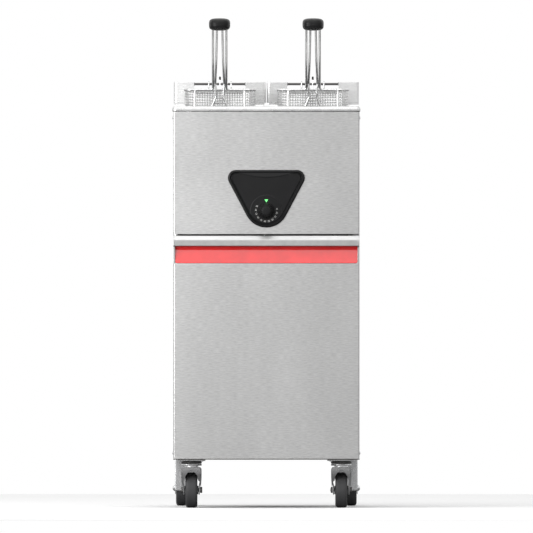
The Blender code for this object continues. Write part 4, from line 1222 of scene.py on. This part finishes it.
def roller(label, side):
    name = f"roller_{label}"
    low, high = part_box(f"{name}_bracket")
    axle = (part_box(f"{name}_tyre")[0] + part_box(f"{name}_tyre")[1]) / 2
    y = axle.y
    outline = [
        (low.y, high.z, 0), (low.y, 0.0328, 0.002), (low.y + 0.012, low.z, 0.004), (y - 0.010, 0.0265, 0.006),
        (y + 0.010, 0.0265, 0.006), (y + 0.033, 0.070, 0.010), (high.y, 0.084, 0.008), (high.y, high.z, 0)
    ]
    bracket = plate(outline, "x", low.x, high.x)
    rounded(bracket, edges_where(bracket, lying_at("y", low.y), along("z")), 0.0022, 4)
    pocket = slab((low.x + 0.0015, low.y + 0.0015, 0), (high.x - 0.0015, high.y + 0.02, high.z - 0.0025))
    hole = rod(AXLE_HOLE, -0.03, 0.03, axle, (1, 0, 0))
    bracket = softened(machined(bracket, [pocket, hole]), 0.0003, 2, 50)
    fitted(f"{name}_housing", bracket, "zinc_plate", "cabinet", f"{name}_bracket")

    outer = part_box(f"{name}_axle")[1].x if side > 0 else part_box(f"{name}_axle")[0].x
    reach, cheek = abs(outer - axle.x), (high.x - low.x) / 2 + 0.0002
    cap = [(0, -cheek - 0.003), (0.0062, -cheek - 0.003), (0.0065, -cheek), (0.0039, -cheek)]
    cap += [(0.0039, cheek), (0.0066, cheek), (0.0066, cheek + 0.0016), (0.0056, cheek + 0.0022)]
    cap += [(0.0052, reach - 0.0020), (0.0036, reach - 0.0006), (0.0016, reach), (0, reach)]
    fitted(f"{name}_cap_nut", lathe(cap, axle, (side, 0, 0), 32), "zinc_plate", "cabinet", f"{name}_axle")
    wheel(name, axle, 0.0117, 0.0117, f"{name}_wheel")


# ---------------------------------------------------------------- inside the cabinet

def drain():
    """The bent pipe under the tank, a cock with hexagon ends and a spout, and the lever on its stem."""
    low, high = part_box("drain_pipe")
    x, z, back_y, front_y = (low.x + high.x) / 2, 0.535, -0.030, -0.110
    pipe = wire([(x, back_y, high.z), (x, back_y, z), (x, front_y, z)], 0.0135, 0.028, 24, 10)
    collar = softened(rod(0.0185, 0.600, high.z, (x, back_y, 0), (0, 0, 1), 36), 0.0012)
    fitted("drain_bend", joined([pipe, collar]), "polished_steel", "cabinet", "drain_pipe")

    start, spout_y = front_y - GAP, -0.180
    barrel = [
        (0, 0.009), (0.0165, 0.009), (0.0195, 0.014), (0.0203, 0.022), (0.0195, 0.030), (0.0165, 0.035),
        (0, 0.035)
    ]
    parts = [
        softened(rod(0.0190, 0, 0.011, (x, start, z), (0, -1, 0), 6), 0.0012),
        lathe(barrel, (x, start, z), (0, -1, 0), 36),
        softened(rod(0.0190, 0, 0.011, (x, start - 0.033, z), (0, -1, 0), 6), 0.0012),
        wire([(x, start - 0.040, z), (x, spout_y, z), (x, spout_y, 0.497)], 0.0125, 0.020, 24, 8),
        softened(rod(0.009, 0.545, 0.5622, (x, -0.1325, 0), (0, 0, 1)), 0.0010)
    ]
    fitted("drain_cock", joined(parts), "zinc_plate", "cabinet", "drain_valve")

    low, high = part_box("drain_lever")
    y = (low.y + high.y) / 2
    blade_top = low.z + 0.0040
    sleeve = softened(plate(corners_of(low, high, 0.0098), "z", low.z, blade_top), 0.0016, 4)
    nut = hex_head(0.0065, high.z - blade_top + 0.0004, (0, y, blade_top - 0.0004), (0, 0, 1))
    fitted("lever_sleeve", sleeve, "lever_red", "drain_lever", "drain_lever")
    fitted("lever_nut", nut, "zinc_plate", "drain_lever")


def lipped_tub(low, high, corner, wall, lip):
    """A tub whose lip reaches the box it is given."""
    return tub((low.x + lip, low.y + lip, low.z), (high.x - lip, high.y - lip, high.z), corner, wall, lip)


def bucket():
    low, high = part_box("oil_bucket")
    lip, y, handle_z = 0.008, (low.y + high.y) / 2, 0.275
    parts = [lipped_tub(low, high, 0.030, SHEET, lip)]
    for side in (-1, 1):
        edge = side * (high.x - lip + 0.001)
        out = edge + side * 0.016
        ring = [(edge, y - 0.045), (out, y - 0.045), (out, y + 0.045), (edge, y + 0.045)]
        parts.append(wire([(*spot, handle_z) for spot in ring], 0.0028, 0.008, 12, 5))
    fitted("bucket_shell", joined(parts), "cabinet_steel", "cabinet", "oil_bucket")

    low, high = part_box("bucket_filter")
    sieve = lipped_tub(low, high, 0.026, 0.0012, 0.010)
    fitted("filter_sieve", sieve, "pierced_sheet", "cabinet", "bucket_filter")
    y, foot, top = (low.y + high.y) / 2, high.z - 0.012, high.z + 0.022
    bail = [(-0.100, y, foot), (-0.100, y, top), (0.100, y, top), (0.100, y, foot)]
    fitted("filter_bail", wire(bail, 0.0022, 0.012, 12, 6), "wire_chrome", "cabinet")


def gland():
    low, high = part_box("cable_gland")
    x, z, start = (low.x + high.x) / 2, (low.z + high.z) / 2, 0.3000
    reach = high.y - start
    nut = softened(rod(0.0125, 0, 0.0060, (x, start, z), (0, 1, 0), 6), 0.0007)
    dome = [
        (0, 0.005), (0.0112, 0.005), (0.0114, 0.012), (0.0105, 0.0155), (0.0085, 0.0190),
        (0.0062, reach - 0.0006), (0.0052, reach), (0.0046, reach - 0.0008), (0.0046, 0.012), (0, 0.012)
    ]
    body = lathe(dome, (x, start, z), (0, 1, 0), 48)
    for vert in body.verts:
        out = Vector((vert.co.x - x, 0, vert.co.z - z))
        if 0.0102 < out.length:
            vert.co -= out.normalized() * 0.0005 * (1 + math.cos(math.atan2(out.z, out.x) * 16)) / 2
    thread = rod(0.0079, -0.014, 0, (x, start, z), (0, 1, 0))
    fitted("gland_body", joined([nut, body, thread]), "black_plastic", "cabinet", "cable_gland")


# ---------------------------------------------------------------- studio

SKY = ((-1.0, 0.08), (-0.12, 0.26), (-0.02, 0.54), (0.06, 0.58), (0.30, 0.72), (0.50, 0.78), (0.99, 0.62))
SKY_STRENGTH = 1.3


def aimed(obj, target):
    way = Vector(target) - obj.location
    obj.rotation_euler = way.to_track_quat("-Z", "Y").to_euler()


def camera():
    """Straight in front from far off, so that the view is all but parallel."""
    width = 1.1443
    lens = bpy.data.cameras.new("studio_camera")
    lens.sensor_width, lens.lens = 36, 1700
    lens.clip_start, lens.clip_end = 1, 200
    obj = bpy.data.objects.new("studio_camera", lens)
    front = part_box("front_panel")[0].y
    obj.location = (0.0003, front - width * lens.lens / lens.sensor_width, 0.5185)
    obj.rotation_euler = (math.pi / 2, 0, 0)
    bpy.context.scene.collection.objects.link(obj)
    bpy.context.scene.camera = obj


def softbox(name, place, target, size, power):
    light = bpy.data.lights.new(name, "AREA")
    light.shape, light.size, light.size_y = "RECTANGLE", *size
    light.energy = power
    obj = bpy.data.objects.new(name, light)
    obj.location, obj.visible_camera = place, False
    bpy.context.scene.collection.objects.link(obj)
    aimed(obj, target)


def studio():
    """A pale floor that mirrors dark, under a sky that brightens from the horizon up, and three softboxes."""
    shape = bmesh.new()
    bmesh.ops.create_grid(shape, x_segments=1, y_segments=1, size=3.0)
    floor = loose("studio_floor", shape)
    made, tree, shader, vector = recipe("pale_floor")
    seen = node(tree, "LightPath").outputs["Is Camera Ray"]
    cloud = mottle(tree, vector, 3.0, 4.0)
    pale = tinted(tree, cloud, (0.92, 0.92, 0.92), (0.96, 0.96, 0.96))
    tree.links.new(tinted(tree, seen, (0.22, 0.22, 0.22), pale), shader.inputs["Base Color"])
    constants(shader, Roughness=0.8)
    floor.data.materials.append(made)

    world = bpy.data.worlds.new("studio")
    world.use_nodes = True
    tree = world.node_tree
    height = node(tree, "SeparateXYZ", {0: node(tree, "TexCoord").outputs["Generated"]}).outputs["Z"]
    ramp = node(tree, "ValToRGB", {"Fac": spread(tree, height, -1.0, 1.0)})
    stops = ramp.color_ramp.elements
    for place, level in SKY:
        stop = stops.new((place + 1) / 2)
        stop.color = (level, level, level, 1)
    stops.remove(stops[0])
    stops.remove(stops[-1])
    sky = tree.nodes["Background"]
    tree.links.new(ramp.outputs["Color"], sky.inputs["Color"])
    sky.inputs["Strength"].default_value = SKY_STRENGTH
    plain = node(tree, "Background", {"Color": (1, 1, 1, 1), "Strength": 1.0})
    seen = node(tree, "LightPath").outputs["Is Camera Ray"]
    mix = node(tree, "MixShader", {0: seen, 1: sky.outputs[0], 2: plain.outputs[0]})
    tree.links.new(mix.outputs[0], tree.nodes["World Output"].inputs["Surface"])
    bpy.context.scene.world = world

    softbox("key_light", (-1.45, -1.9, 0.90), (-0.25, -0.3, 0.50), (1.4, 1.1), 33)
    softbox("brow_light", (0.0, -3.2, 2.0), (0.0, -0.3, 0.55), (2.4, 0.7), 5)
    softbox("top_light", (-0.3, -0.6, 2.4), (0.0, 0.0, 0.9), (1.6, 1.2), 8)
    bpy.context.scene.view_settings.view_transform = "Standard"


def dress_frame():
    """Gives every CAD node that still shows the finish of its material slot, except the base pan, which gets
    dark steel as a painted shadow line under the door.
    """
    slot_of = {part["node"]: part["material_slot"] for part in frame["record"]["subparts"]}
    for name, obj in frame["nodes"].items():
        if not obj.hide_render:
            for slot in obj.material_slots:
                # The base pan is dark steel only to paint the shadow line in the gap under the door.
                slot.material = FINISHES["dark_steel" if name == "base_pan" else slot_of[name]]


camera()
studio()
cabinet_front()
cabinet_back()
side_screws()
door()
deck_and_tank()
upstands()
heating()
bezel()
dial()
knob()
drain()
bucket()
gland()
for side_label, side_sign in SIDES:
    basket(side_label)
    castor(side_label)
    roller(side_label, side_sign)
dress_frame()
